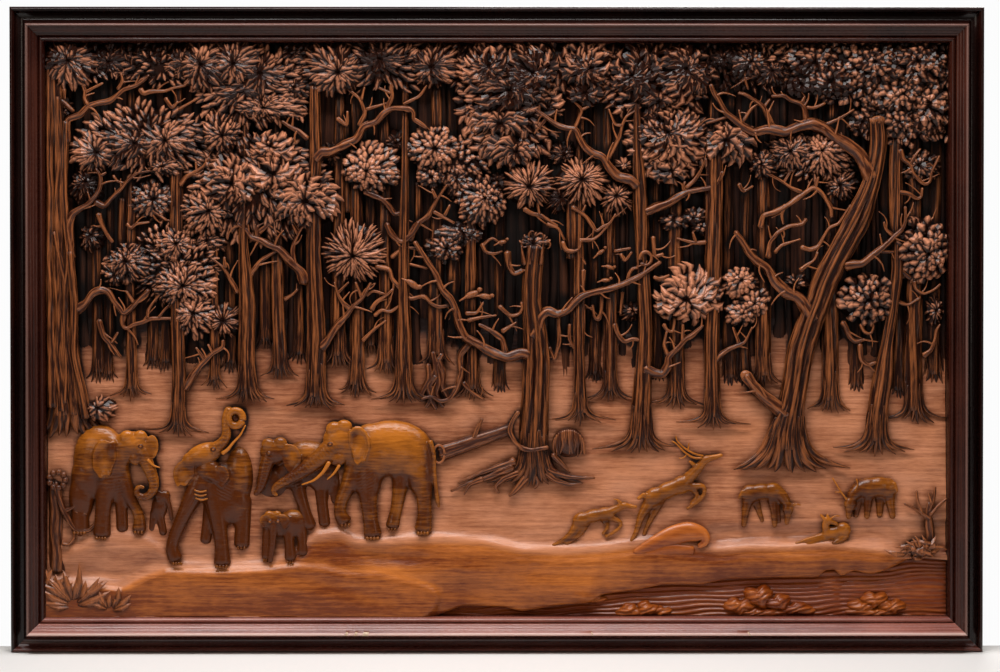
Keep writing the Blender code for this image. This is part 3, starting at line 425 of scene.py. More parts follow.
def floorRise(gx, gy):
    shape = floorShape
    plain = lineAt(shape["rows"], gy) + 1.8 * waves(gx, gy * 2.2, 90, 3) + 0.8 * waves(gx, gy * 2, 28, 4)
    plain = np.where(gy < 330, 0.4 * plain, plain)
    crest = softLineAt(shape["crest"], gx)
    # the mound at the left, whose near side falls to the lobe in front of it
    mound = softLineAt(shape["mound"], gx)
    held = ease((gx - 62) / 14) * ease((176 - gx) / 12)
    fall = np.clip((gy - mound) / np.maximum(crest - mound, 6), 0, 1)
    top = plain + 9 * np.exp(-(np.minimum(gy - mound, 0) / 7) ** 2)
    near = plain + 9 - 13 * fall ** 1.3
    plain = plain + held * (np.where(gy < mound, top, near) - plain)
    roll = ease((gy - crest + shape["roll"]) / shape["roll"])
    bank = plain + (shape["crestRise"] + 1.2 * waves(gx, gy, 60, 6) - plain) * roll
    pond = ease((gx - 700) / 16) * ease((gy - 522 + (gx - 712) * 0.03) / 6) * ease((crest - 3 - gy) / 6)
    ripple = np.sin(gy * 1.45 + 1.2 * waves(gx, gy * 6, 60, 12)) * 0.9
    # the boulder that lies on the bank behind the deer
    boulder = 5 * swelling(gx, gy, 672, 534, 34, 8, -6)
    return bank + (ripple - 8) * pond + boulder


def faceRise(gx, gy, crest, foot):
    # the near side of the bank, from its crest down to its lower edge
    shape = floorShape
    down = np.clip((gy - crest) / np.maximum(foot - crest, 1), 0, 1)
    bulge = shape["crestRise"] + 6 * np.sin(math.pi * down) - 3 * down ** 3 + 1.4 * waves(gx, gy * 2.4, 110, 8)
    bulge = bulge - 2.6 * np.exp(-((gy - crest - 7) / 4) ** 2)
    hollows = (8 * swelling(gx, gy, 385, 553, 52, 8, 3) + 6 * swelling(gx, gy, 470, 588, 52, 12, 4)
               + 4 * swelling(gx, gy, 575, 572, 60, 10, 0) + 3 * swelling(gx, gy, 532, 567, 5, 9, 8))
    rises = (4 * swelling(gx, gy, 465, 566, 26, 9, 12) + 5 * swelling(gx, gy, 585, 595, 14, 4, 10)
             + 3 * swelling(gx, gy, 500, 541, 40, 6, 6) + 3 * swelling(gx, gy, 650, 582, 12, 3, 0))
    rise = bulge - hollows + rises
    inside = np.minimum(gy - lineAt(shape["lobeTop"], gx), lineAt(shape["lobeEnd"], gy) - gx)
    lobe = shape["hillRise"] - 11 * (1 - ease((inside + 1) / 11)) ** 1.5 + 1.6 * waves(gx, gy * 2, 150, 9)
    lobe = lobe + 2.5 * swelling(gx, gy, 250, 584, 90, 12, 4) - 2.5 * swelling(gx, gy, 340, 585, 50, 8, 14)
    return np.where(inside > -1, np.maximum(lobe, rise), rise)


def gridQuads(rows, columns):
    first = (np.arange(rows - 1)[:, None] * columns + np.arange(columns - 1)[None, :]).ravel()
    return np.stack((first, first + columns, first + columns + 1, first + 1), axis=1)


def addFloor(carving):
    shape = floorShape
    columns = int(layout["columns"] / shape["columnStep"]) + 1
    gx = np.linspace(layout["firstColumn"] - 1, lastColumn + 1, columns)
    crest = softLineAt(shape["crest"], gx)
    fullFoot = softLineAt(shape["foot"], gx, 2)
    foot = np.minimum(fullFoot, lastRow + 2)
    start = 316.0
    rows = []
    for share in np.linspace(0, 1, shape["floorRows"]):
        gy = start + (crest - start) * share
        rows.append(np.stack((gx, gy, floorRise(gx, gy)), axis=1))
    for share in np.linspace(0, 1, shape["faceRows"])[1:]:
        gy = crest + (foot - crest) * share
        rows.append(np.stack((gx, gy, faceRise(gx, gy, crest, fullFoot)), axis=1))
    edge = rows[-1]
    for drop, back in ((0.6, 4), (-0.6, 10), (-3.5, 22)):
        under = edge.copy()
        under[:, 1] += drop
        under[:, 2] = np.maximum(edge[:, 2] - back, 2)
        rows.append(under)
    points = np.concatenate(rows)
    past = points[:, 1] - softLineAt(shape["crest"], points[:, 0])
    # painted highlight along the bank's crest; the face below the crest is darker, less so to the right
    crestLight = 0.06 + 0.34 * ease((points[:, 0] - 420) / 40) * ease((625 - points[:, 0]) / 40)
    tone = 0.60 - (0.28 - 0.20 * ease((points[:, 0] - 520) / 60)) * ease((past - 2) / 10) + crestLight * np.exp(-(past / 3.4) ** 2)
    # broad painted highlight and sheen on the bank below the crest
    tone = tone + 0.30 * swelling(points[:, 0], points[:, 1], 492, 542, 56, 9, 2) * (past > -4)
    tone = tone + 0.26 * swelling(points[:, 0], points[:, 1], 398, 569, 42, 8, 12)
    # darker along the foot of the lobe; then painted shade in the bank's hollow and under the mound's crest
    tone = tone - 0.20 * swelling(points[:, 0], points[:, 1], 270, 606, 130, 12)
    tone = tone - 0.25 * swelling(points[:, 0], points[:, 1], 385, 554, 56, 9, 3)
    tone = tone - 0.25 * swelling(points[:, 0], points[:, 1], 118, 560, 44, 16)
    # painted highlight along the top edge of the lobe in front
    top = points[:, 1] - lineAt(shape["lobeTop"], points[:, 0])
    tone = tone + 0.22 * np.exp(-((top - 3) / 3.5) ** 2) * (points[:, 0] < 440)
    carving.add(points, gridQuads(len(rows), columns), tone=tone)


def addStream(carving):
    gx = np.arange(430, lastColumn + 2, 2.0)
    foot = lineAt(floorShape["foot"], gx)
    rows = []
    for share in np.linspace(0, 1, 56):
        gy = (foot - 6) + (lastRow + 2 - foot + 6) * share
        rise = floorShape["streamRise"] + floorShape["streamSlope"] * (gy - foot)
        swirl = gy * 1.35 + 3.4 * waves(gx, gy * 2.5, 80, 21) + 0.05 * gx
        rise = rise + 1.3 * np.sin(swirl) + 0.8 * waves(gx, gy * 2, 40, 22)
        rows.append(np.stack((gx, gy, rise), axis=1))
    carving.add(np.concatenate(rows), gridQuads(len(rows), len(gx)), tone=0.34)


# tubes: trunks, branches, roots, limbs
def signedVolume(points, quads, triangles):
    faces = [triangles] if len(triangles) else []
    if len(quads):
        faces += [quads[:, [0, 1, 2]], quads[:, [0, 2, 3]]]
    corner = points[np.concatenate(faces)]
    return np.einsum("ij,ij->i", corner[:, 0], np.cross(corner[:, 1], corner[:, 2])).sum()


def tubeShape(line, step=3, ring=12, depth=0.8, flutes=(), seed=0, rounds=3, ends=0.6, knots=0.0):
    # a closed, tapered tube along (gx, gy, width, crown) stations; crown is the rise of its front
    path, along = smoothLine(line, step, rounds)
    radius = path[:, 2] / 2
    if knots:
        radius = radius * (1 + knots * waves(along, along * 0, 22, seed + 5))
    heading = np.gradient(path[:, :2], axis=0)
    heading /= np.maximum(np.hypot(heading[:, 0], heading[:, 1]), 1e-6)[:, None]
    normal = np.stack((-heading[:, 1], heading[:, 0]), axis=1)
    angle = np.linspace(0, 2 * math.pi, ring, endpoint=False)
    angle = angle + 0.42 * np.cos(angle)
    grow = np.ones((len(path), ring))
    draw = np.random.default_rng(seed)
    for count, amount, drift in flutes:
        phase = draw.uniform(0, math.pi)
        sway = 0.7 * np.sin(along / drift + draw.uniform(0, 6)) + 0.4 * np.sin(along / drift * 2.3)
        ridge = np.abs(np.sin(count * angle[None, :] / 2 + phase + sway[:, None]))
        grow -= amount * (1 - ridge) ** 1.6
    across = radius[:, None] * np.cos(angle)[None, :] * grow
    centre = path[:, 3] - radius * perSquare * depth
    points = np.empty((len(path), ring, 3))
    points[:, :, 0] = path[:, 0, None] + normal[:, 0, None] * across
    points[:, :, 1] = path[:, 1, None] + normal[:, 1, None] * across
    points[:, :, 2] = centre[:, None] + radius[:, None] * perSquare * depth * np.sin(angle)[None, :] * grow
    points = points.reshape(-1, 3)
    flow = np.empty((len(path), ring, 3))
    flow[:, :, 0] = angle[None, :] * radius.mean()
    flow[:, :, 1] = along[:, None]
    flow[:, :, 2] = seed * 7.3
    flow = flow.reshape(-1, 3)
    base = (np.arange(len(path) - 1)[:, None] * ring + np.arange(ring)[None, :]).ravel()
    after = (np.arange(len(path) - 1)[:, None] * ring + (np.arange(ring)[None, :] + 1) % ring).ravel()
    quads = np.stack((base, after, after + ring, base + ring), axis=1)
    first = np.append(path[0, :2] - heading[0] * radius[0] * ends, centre[0])
    last = np.append(path[-1, :2] + heading[-1] * radius[-1] * ends, centre[-1])
    points = np.vstack((points, first, last))
    flow = np.vstack((flow, flow[0], flow[-1]))
    # painted shade: darker in the flute grooves the deeper they are, and at the capped ends
    crest = np.append(((grow - 1) * 3.6).ravel(), (-0.3, -0.3))
    number = np.arange(ring)
    tail = (len(path) - 1) * ring
    triangles = np.vstack((
        np.stack((np.full(ring, len(points) - 2), (number + 1) % ring, number), axis=1),
        np.stack((np.full(ring, len(points) - 1), tail + number, tail + (number + 1) % ring), axis=1)))
    if signedVolume(toWorld(points), quads, triangles) < 0:
        quads, triangles = quads[:, ::-1], triangles[:, ::-1]
    return points, quads, triangles, flow, crest


def addTube(carving, line, tone=0.5, **options):
    points, quads, triangles, flow, crest = tubeShape(line, **options)
    carving.add(points, quads, triangles, flow, tone + 0.2 + crest)


# trees: (gx, gy, width) down the trunk, how near they stand and the spread of their roots
treeLook = {
    "great": {"crown": 48, "depth": 0.80, "flutes": ((7, 0.30, 70), (17, 0.20, 36)), "roots": 7, "ring": 46},
    "front": {"crown": 39, "depth": 0.80, "flutes": ((5, 0.24, 60), (13, 0.20, 32)), "roots": 5, "ring": 30},
    "middle": {"crown": 28, "depth": 0.75, "flutes": ((4, 0.22, 60), (11, 0.18, 30)), "roots": 4, "ring": 22},
    "back": {"crown": 16, "depth": 0.70, "flutes": ((3, 0.22, 50), (8, 0.18, 26)), "roots": 2, "ring": 16},
}
trees = (
    ("front", ((54, 60, 15), (57, 200, 22), (60, 300, 28), (64, 380, 38), (67, 412, 44)), 20),
    ("middle", ((129, 300, 11), (130, 350, 12), (130, 386, 13)), 14),
    ("front", ((176, 318, 13), (178, 370, 14), (177, 422, 16)), 24),
    ("middle", ((213, 330, 10), (213, 377, 12)), 8),
    ("front", ((242, 236, 9), (244, 270, 14), (246, 300, 17), (245, 350, 17), (246, 388, 19)), 20),
    ("middle", ((276, 250, 14), (276, 310, 14), (278, 366, 16)), 12),
    ("front", ((313, 85, 11), (314, 150, 13), (312, 250, 15), (315, 330, 20), (314, 394, 21)), 22),
    ("middle", ((355, 300, 14), (355, 382, 17)), 13),
    ("front", ((403, 172, 8), (402, 240, 11), (402, 300, 12), (402, 350, 18), (402, 388, 19)), 24),
    ("middle", ((434, 300, 16), (434, 352, 18)), 10),
    ("middle", ((384, 310, 15), (384, 360, 17)), 10),
    ("middle", ((336, 290, 15), (336, 353, 17)), 10),
    ("back", ((263, 270, 12), (263, 338, 13)), 7),
    ("back", ((297, 300, 11), (297, 352, 13)), 6),
    ("back", ((451, 280, 16), (451, 332, 17)), 8),
    ("back", ((368, 300, 12), (368, 343, 13)), 6),
    ("middle", ((469, 232, 11), (469, 300, 14), (470, 386, 17)), 13),
    ("great", ((533, 244, 20), (530, 275, 20), (529, 300, 20), (533, 330, 24), (535, 360, 29),
               (533, 400, 30), (531, 440, 30), (532, 464, 34)), 30),
    ("front", ((576, 322, 11), (577, 370, 12), (578, 410, 15)), 30),
    ("middle", ((608, 300, 13), (608, 388, 15)), 20),
    ("front", ((634, 108, 7), (635, 150, 10), (638, 200, 16), (640, 260, 14), (643, 330, 14), (640, 390, 20),
               (638, 436, 24)), 32),
    ("middle", ((674, 318, 17), (674, 394, 18)), 24),
    ("front", ((712, 165, 18), (711, 235, 18), (709, 330, 15), (710, 414, 17)), 27),
    ("middle", ((761, 300, 15), (761, 373, 17)), 14),
    ("back", ((727, 318, 14), (728, 375, 16)), 6),
    ("back", ((742, 318, 13), (742, 374, 15)), 6),
    ("great", ((872, 116, 16), (875, 140, 18), (872, 162, 17), (868, 180, 18), (861, 200, 23), (853, 220, 28),
               (842, 240, 27), (831, 260, 27), (821, 280, 27), (814, 302, 26), (806, 322, 27), (797, 350, 28),
               (793, 378, 26), (789, 402, 28), (784, 428, 38), (783, 446, 46)), 40),
    ("middle", ((828, 330, 17), (828, 398, 18)), 14),
    ("back", ((855, 345, 13), (855, 384, 15)), 6),
    ("front", ((894, 272, 12), (889, 310, 11), (884, 340, 12), (881, 370, 20), (876, 402, 21), (873, 438, 23)), 36),
    ("middle", ((912, 293, 18), (911, 350, 18), (912, 408, 20)), 27),
    ("back", ((897, 345, 12), (897, 388, 14)), 6),
    ("back", ((933, 330, 18), (933, 372, 19)), 9),
    ("middle", ((891, 134, 10), (890, 180, 11), (892, 232, 12)), 0),
    ("middle", ((570, 196, 12), (570, 256, 13)), 0),
    ("middle", ((173, 172, 10), (173, 232, 11)), 0),
    ("back", ((120, 196, 9), (120, 254, 10)), 0),
    ("back", ((728, 60, 13), (728, 116, 13)), 0),
    ("back", ((95, 300, 11), (96, 370, 13)), 6),
    ("back", ((107, 305, 9), (106, 372, 11)), 5),
    ("back", ((151, 330, 11), (151, 358, 13)), 5),
    ("back", ((164, 330, 10), (164, 360, 12)), 5),
    ("back", ((229, 330, 13), (229, 361, 14)), 6),
    ("back", ((592, 322, 9), (592, 372, 11)), 5),
    ("back", ((497, 350, 12), (497, 384, 14)), 6),
    ("back", ((655, 300, 10), (656, 372, 12)), 5),
    ("back", ((416, 180, 9), (416, 262, 10)), 0),
    ("back", ((344, 118, 9), (344, 210, 10)), 0),
)


def addRoots(carving, look, line, spread, seed):
    gx, gy, width = line[-1]
    trunk = np.array(line, dtype=float)
    draw = np.random.default_rng(seed)
    count = look["roots"] + 4
    start = min(34.0, 1.15 * width + 6)

    def onTrunk(up, share, sink):
        # a place on the trunk's front, up from its foot
        level = gy - up
        middle = np.interp(level, trunk[:, 1], trunk[:, 0])
        half = np.interp(level, trunk[:, 1], trunk[:, 2]) / 2
        lean = 0.86 * share
        drop = (1 - math.sqrt(1 - lean ** 2)) * half * perSquare * look["depth"]
        return middle + lean * half, level, look["crown"] - drop - sink

    for index in range(count):
        share = -1 + 2 * index / (count - 1) + draw.uniform(-0.07, 0.07)
        share = max(-1.0, min(1.0, share))
        length = spread * (0.5 + 0.5 * abs(share)) * draw.uniform(0.8, 1.15)
        low = width * 0.42 + 5 - 5 * abs(share) + draw.uniform(-1.5, 1.5)
        size = width * draw.uniform(0.17, 0.25)
        topX, topY, topRise = onTrunk(start * draw.uniform(0.85, 1.15), share, 3.5)
        midX, midY, midRise = onTrunk(start * 0.5, share, 0.2)
        line = ((topX, topY, size * 0.35, topRise), (midX, midY, size * 0.8, midRise),
                (gx + share * (width * 0.44 + length * 0.03), gy - 2, size * 1.1, midRise),
                (gx + share * (width * 0.46 + length * 0.22), gy + low * 0.42, size * 1.1, midRise - 2),
                (gx + share * (width * 0.48 + length * 0.60), gy + low * 0.80, size * 0.8, look["crown"] * 0.86 - 3),
                (gx + share * (width * 0.50 + length), gy + low + draw.uniform(-2, 2), 1.0, look["crown"] * 0.72 - 2))
        addTube(carving, line, step=3.6, ring=8, depth=0.95, flutes=((3, 0.22, 14), (7, 0.10, 9)),
                seed=seed + index + 1, tone=0.42)


def addTree(carving, kind, line, spread, seed):
    look = treeLook[kind]
    stations = [(gx, gy, width, look["crown"]) for gx, gy, width in line]
    gx, gy, width = line[0]
    if kind != "great" and gy > 105 and spread:
        # the bole runs on up behind the leaves and boughs, thinner and further back
        lean = 3 * math.sin(seed * 2.7)
        reach = np.linspace(0, 1, 4)[:-1]
        upper = [(gx + lean * (1 - part), 62 + (gy - 62) * part, width * (0.68 + 0.3 * part),
                  look["crown"] * (0.55 + 0.4 * part)) for part in reach]
        stations = upper + stations
    addTube(carving, stations, step=4.6, ring=look["ring"], depth=look["depth"], flutes=look["flutes"], seed=seed,
            ends=0.15, knots=0.04, tone=0.42)
    if spread:
        addRoots(carving, look, line, spread, seed * 31)


# the bundle of stems at the left edge, each (gx, gy, width) from the top down
leftStems = (
    ((50, 60, 7), (49, 120, 8), (51, 190, 8), (49, 260, 9), (51, 330, 10), (52, 404, 13)),
    ((58, 96, 7), (60, 160, 9), (56, 220, 9), (60, 290, 10), (57, 350, 11), (62, 408, 14)),
    ((66, 120, 7), (63, 190, 9), (68, 250, 9), (64, 310, 10), (70, 362, 11), (74, 412, 14)),
    ((70, 250, 8), (74, 300, 9), (73, 350, 10), (80, 385, 11), (86, 415, 12)),
    ((54, 230, 7), (64, 280, 8), (66, 340, 9), (64, 400, 12)),
)


# branches, vines and loose roots: width at the start, at the end, the rise of their front, the line
branches = (
    (8, 3, 37, (67, 140), (66, 128), (68, 118), (80, 114), (88, 105), (97, 102), (110, 100), (117, 94),
     (124, 88), (135, 85), (142, 80), (149, 74)),
    (5, 3, 36, (88, 104), (84, 97), (86, 91), (82, 82)), (3, 2, 36, (86, 91), (95, 86), (103, 82)),
    (6, 4, 34, (52, 91), (57, 97), (65, 102), (73, 110)), (4, 2, 34, (64, 88), (65, 98)),
    (4, 2, 36, (118, 88), (123, 80), (121, 72)),
    (5, 2, 34, (140, 88), (143, 93), (150, 90), (165, 90), (172, 87), (185, 84), (192, 82)),
    (4, 2, 32, (165, 97), (172, 108), (177, 100)), (3, 2, 32, (178, 108), (197, 97)),
    (9, 3, 39, (70, 255), (70, 235), (69, 222), (72, 212), (80, 207), (88, 203), (95, 195), (100, 187),
     (101, 175), (96, 167)),
    (3, 2, 37, (101, 174), (106, 171)),
    (6, 2, 36, (95, 200), (104, 205), (110, 198), (120, 188), (128, 178), (135, 172), (150, 169)),
    (3, 2, 34, (113, 174), (117, 180), (124, 181)), (5, 3, 34, (98, 212), (101, 222), (106, 232), (112, 240)),
    (9, 4, 38, (76, 307), (80, 305), (86, 300), (92, 291), (100, 287), (108, 289), (114, 300), (120, 307),
     (123, 312), (130, 306), (137, 299), (148, 288)),
    (4, 2, 36, (133, 300), (126, 289)),
    (5, 3, 34, (123, 312), (121, 322), (125, 327), (133, 322), (142, 320), (150, 316), (172, 316)),
    (3, 2, 34, (147, 315), (147, 308), (153, 299), (160, 291)), (3, 2, 34, (158, 315), (163, 308), (168, 303)),
    (6, 3, 32, (98, 318), (103, 335), (110, 342), (120, 355)), (3, 2, 32, (111, 340), (117, 330)),
    (8, 3, 36, (184, 386), (192, 372), (200, 362), (212, 350), (222, 345), (222, 338)),
    (4, 2, 34, (203, 357), (195, 345)), (3, 2, 34, (211, 350), (207, 342)),
    (5, 3, 28, (141, 200), (148, 206), (156, 212), (165, 218)),
    (4, 2, 28, (126, 222), (130, 227), (134, 222), (148, 220)),
    (5, 3, 34, (180, 183), (185, 175), (195, 170), (203, 165), (208, 157)), (3, 2, 32, (196, 170), (195, 160)),
    (6, 3, 38, (306, 137), (298, 130), (288, 125), (281, 120)), (3, 2, 36, (291, 126), (292, 115)),
    (10, 3, 41, (314, 158), (320, 150), (328, 151), (335, 148), (345, 142), (355, 138), (362, 125), (375, 121),
     (382, 112), (390, 107), (408, 107), (413, 112), (411, 118), (425, 127)),
    (5, 2, 38, (384, 110), (391, 95), (389, 82)), (3, 2, 36, (389, 92), (374, 85)),
    (3, 2, 36, (402, 103), (418, 95), (425, 84)),
    (5, 2, 36, (358, 124), (364, 112), (358, 97), (343, 85)), (3, 2, 34, (360, 98), (363, 86)),
    (3, 2, 36, (365, 108), (385, 102)), (4, 2, 36, (336, 117), (346, 125), (346, 110)),
    (6, 4, 32, (363, 190), (380, 197), (388, 205), (393, 213), (400, 210)),
    (7, 2, 36, (408, 238), (412, 225), (426, 215), (431, 205), (436, 196), (445, 183)),
    (4, 2, 34, (434, 196), (430, 187)), (4, 2, 34, (432, 210), (452, 221)), (3, 2, 34, (443, 213), (448, 203)),
    (6, 5, 40, (385, 222), (388, 229), (392, 235), (400, 241), (410, 232), (417, 220)),
    (10, 4, 38, (303, 280), (300, 270), (292, 262), (285, 255), (278, 247), (268, 243), (260, 238), (250, 236),
     (245, 228), (237, 222)),
    (6, 2, 36, (294, 262), (291, 250), (293, 240), (300, 226), (305, 222)), (3, 2, 36, (296, 232), (291, 222)),
    (5, 2, 34, (256, 235), (255, 218), (246, 207)), (4, 2, 34, (257, 213), (266, 200)),
    (5, 2, 34, (258, 230), (268, 222), (283, 215)), (3, 2, 34, (271, 217), (272, 207)),
    (6, 3, 34, (245, 280), (252, 268), (260, 258), (276, 248)),
    (6, 2, 32, (236, 290), (232, 282), (226, 272), (222, 265), (210, 256)), (4, 2, 32, (224, 265), (223, 255)),
    (9, 3, 39, (320, 345), (325, 340), (330, 332), (337, 322), (345, 313), (352, 303), (360, 297), (369, 281)),
    (4, 2, 37, (360, 295), (354, 280)), (5, 2, 36, (349, 308), (341, 300), (337, 293), (333, 280)),
    (3, 2, 34, (337, 290), (347, 280)), (4, 2, 26, (283, 297), (290, 293), (296, 287)),
    (4, 2, 30, (361, 338), (372, 327), (384, 318)),
    (11, 4, 46, (526, 352), (520, 350), (505, 355), (490, 350), (475, 341), (463, 335), (457, 322), (454, 308),
     (449, 297), (440, 287), (434, 272), (425, 258), (418, 248), (413, 240)),
    (7, 3, 42, (503, 350), (500, 335), (487, 327), (477, 322)), (4, 2, 40, (500, 329), (514, 320)),
    (4, 2, 38, (464, 311), (475, 311), (481, 300)), (4, 2, 38, (466, 318), (478, 315), (494, 313)),
    (4, 3, 38, (497, 304), (508, 314), (517, 312), (521, 305), (519, 300)),
    (5, 2, 34, (370, 307), (373, 301), (386, 292), (391, 287)), (3, 2, 32, (365, 293), (371, 288), (383, 292)),
    (4, 2, 32, (373, 313), (380, 307), (388, 310), (394, 306), (405, 298)),
    (5, 3, 34, (374, 264), (388, 267), (390, 277), (396, 283), (408, 297), (422, 293), (430, 302), (437, 305),
     (450, 302)),
    (4, 3, 34, (390, 255), (396, 250), (403, 245), (420, 247)), (3, 2, 34, (408, 262), (425, 266)),
    (4, 2, 32, (480, 242), (483, 250), (492, 252), (500, 249)), (3, 2, 32, (481, 243), (490, 235), (500, 243)),
    (6, 5, 42, (505, 250), (507, 265), (512, 272), (520, 268)),
    (10, 4, 46, (530, 334), (533, 330), (538, 315), (545, 308), (555, 312), (565, 308), (572, 300), (580, 293),
     (592, 290), (605, 287), (620, 282), (635, 275), (645, 268), (657, 260)),
    (4, 3, 34, (581, 268), (580, 290), (581, 320), (580, 345), (573, 347), (567, 338), (567, 322)),
    (4, 3, 33, (599, 288), (599, 305), (597, 318), (592, 316), (590, 303)),
    (4, 3, 30, (556, 315), (557, 340), (552, 358), (547, 345)), (3, 2, 28, (620, 290), (618, 312)),
    (5, 2, 36, (560, 240), (563, 248), (570, 250), (577, 247), (578, 238)),
    (4, 2, 34, (545, 222), (556, 226), (562, 238)), (3, 2, 32, (575, 248), (583, 262)),
    (4, 2, 34, (577, 238), (590, 238), (597, 233), (608, 220)), (3, 2, 32, (612, 249), (628, 246)),
    (4, 2, 34, (618, 252), (622, 260), (629, 250)), (4, 2, 36, (625, 282), (626, 272), (630, 265), (642, 268)),
    (4, 3, 42, (650, 235), (651, 246), (651, 255), (660, 252)), (4, 2, 40, (651, 275), (657, 277), (666, 273)),
    (4, 3, 44, (637, 257), (638, 251), (644, 249), (649, 254), (648, 261), (642, 264), (638, 261)),
    (10, 3, 44, (634, 184), (628, 178), (615, 175), (606, 165), (600, 155), (590, 152), (582, 146), (577, 137),
     (573, 127), (565, 127), (555, 124), (545, 117), (535, 110), (521, 102)),
    (5, 2, 38, (605, 157), (612, 145), (617, 135), (619, 125), (623, 115), (638, 106)),
    (3, 2, 38, (619, 124), (612, 124), (606, 108)), (4, 2, 36, (572, 128), (580, 108), (571, 100)),
    (3, 2, 36, (580, 108), (588, 104)), (3, 2, 38, (537, 110), (537, 100)), (4, 2, 38, (543, 118), (532, 132)),
    (5, 3, 32, (522, 207), (530, 212), (538, 213), (555, 224)), (3, 2, 32, (537, 212), (535, 200)),
    (5, 2, 34, (570, 205), (578, 210), (584, 215), (590, 224), (594, 230), (600, 224), (607, 222), (613, 212)),
    (3, 2, 32, (580, 210), (583, 203)),
    (9, 3, 38, (643, 210), (655, 205), (665, 202), (675, 195), (683, 190), (695, 188), (708, 186), (715, 180),
     (719, 170)),
    (4, 2, 36, (683, 190), (679, 186), (682, 180)), (5, 2, 36, (683, 186), (692, 178), (697, 170), (703, 157)),
    (10, 3, 40, (642, 366), (650, 370), (660, 372), (666, 362), (665, 355), (670, 350), (678, 343), (682, 337),
     (690, 332), (700, 323)),
    (5, 2, 36, (665, 352), (661, 343), (664, 329)), (4, 2, 36, (661, 322), (664, 328), (670, 330), (672, 316)),
    (4, 2, 36, (680, 338), (680, 322)),
    (7, 2, 36, (712, 360), (718, 352), (725, 347), (735, 343), (742, 340), (749, 325)),
    (4, 2, 34, (736, 341), (730, 325)), (5, 2, 30, (703, 240), (692, 241), (674, 236)),
    (3, 2, 30, (693, 240), (690, 230)), (5, 3, 30, (612, 322), (616, 333), (622, 340), (630, 336), (638, 338)),
    (15, 4, 48, (868, 176), (862, 165), (855, 152), (843, 143), (832, 137), (820, 127), (807, 122), (795, 125),
     (782, 131), (770, 128), (762, 128), (750, 132), (740, 126), (730, 118), (722, 112), (716, 100), (710, 92),
     (707, 84)),
    (4, 2, 40, (725, 115), (703, 122)), (4, 2, 40, (738, 122), (748, 107), (752, 104)),
    (6, 3, 40, (770, 127), (763, 112), (760, 105), (742, 93), (735, 92)), (3, 2, 38, (761, 105), (766, 98)),
    (6, 3, 42, (803, 123), (801, 108), (797, 102), (788, 100), (780, 94), (768, 95)),
    (4, 2, 40, (798, 102), (801, 95)), (4, 2, 40, (803, 106), (810, 107), (821, 102)),
    (5, 4, 36, (757, 225), (760, 213), (772, 210), (785, 203), (800, 192), (810, 185), (818, 190), (828, 206),
     (828, 215)),
    (4, 2, 34, (812, 185), (815, 175)), (4, 2, 34, (782, 203), (778, 212), (780, 222)),
    (4, 2, 34, (798, 190), (788, 186), (780, 180), (763, 171)), (3, 2, 32, (781, 180), (788, 168)),
    (6, 3, 34, (765, 255), (767, 240), (775, 230), (785, 224), (800, 222), (803, 217)),
    (4, 2, 32, (772, 250), (778, 243), (797, 237)),
    (5, 2, 36, (798, 245), (806, 248), (815, 245), (820, 235), (826, 225), (835, 222), (847, 203)),
    (4, 2, 38, (797, 268), (803, 263), (811, 258), (814, 250)),
    (15, 5, 46, (810, 318), (803, 305), (795, 295), (783, 290), (772, 280), (763, 265), (752, 258), (745, 250),
     (738, 238), (732, 230)),
    (9, 3, 44, (842, 264), (848, 262), (858, 262), (866, 255), (875, 248), (885, 240), (893, 232), (898, 228),
     (901, 220), (901, 205)),
    (4, 2, 38, (890, 234), (882, 228), (880, 220)), (4, 2, 38, (876, 249), (890, 250)),
    (5, 2, 30, (897, 148), (900, 158), (907, 162), (910, 172), (921, 183), (927, 180), (928, 170), (936, 154)),
    (3, 2, 30, (907, 162), (914, 150), (917, 147)), (5, 2, 30, (895, 190), (905, 191), (913, 197), (918, 196),
                                                     (919, 186)),
    (5, 3, 32, (896, 268), (900, 270), (907, 276), (913, 278), (921, 272)),
    (4, 2, 32, (911, 279), (912, 287), (920, 292), (930, 288), (937, 282)),
    (5, 2, 32, (890, 298), (896, 300), (905, 303), (917, 295)),
    (6, 4, 30, (840, 320), (843, 325), (847, 335), (853, 340), (860, 337)),
    (4, 2, 30, (858, 322), (861, 330), (868, 332), (871, 325), (869, 317)),
    (5, 3, 30, (857, 342), (858, 358), (865, 363), (873, 360)),
    (5, 2, 30, (921, 353), (928, 348), (932, 338), (933, 328), (937, 322)),
    (4, 2, 30, (905, 222), (925, 221), (930, 215)), (4, 2, 36, (823, 123), (836, 117), (850, 108)),
    (4, 2, 34, (847, 75), (853, 82), (862, 95)), (3, 2, 34, (845, 78), (848, 68)),
    (3, 2, 34, (828, 90), (840, 93), (848, 88)), (4, 2, 34, (742, 65), (742, 80), (745, 88)),
    (3, 2, 34, (742, 78), (757, 72)), (4, 2, 30, (736, 182), (740, 190), (750, 184)),
    (15, 10, 44, (790, 420), (782, 412), (772, 402), (760, 393), (750, 382), (743, 373)),
    (7, 3, 36, (466, 342), (458, 352), (459, 370), (455, 385), (447, 397), (438, 399), (430, 393), (420, 396)),
    (5, 2, 28, (461, 380), (470, 390), (482, 397)),
    (4, 4, 50, (516, 409), (509, 420), (507, 428), (513, 440), (521, 446), (530, 447), (545, 444)),
    (8, 3, 40, (57, 484), (58, 490), (62, 505), (70, 520), (75, 527), (88, 528), (95, 520), (101, 515)),
    (4, 2, 38, (63, 508), (72, 505), (78, 500)), (3, 2, 38, (75, 508), (86, 511)),
    (4, 2, 38, (62, 540), (68, 542), (74, 535), (73, 527)),
    (11, 5, 38, (927, 548), (927, 528), (925, 510), (927, 500)), (6, 2, 38, (926, 516), (914, 507), (901, 501)),
    (4, 2, 38, (918, 510), (914, 498), (913, 488)), (6, 2, 38, (926, 508), (930, 496), (932, 484)),
    (4, 2, 38, (928, 500), (925, 490)), (5, 2, 38, (927, 512), (936, 502), (943, 496)),
)


twigLook = {"least": 3.4, "spacing": 15, "length": (9, 21), "width": 2.6, "turn": (35, 75)}


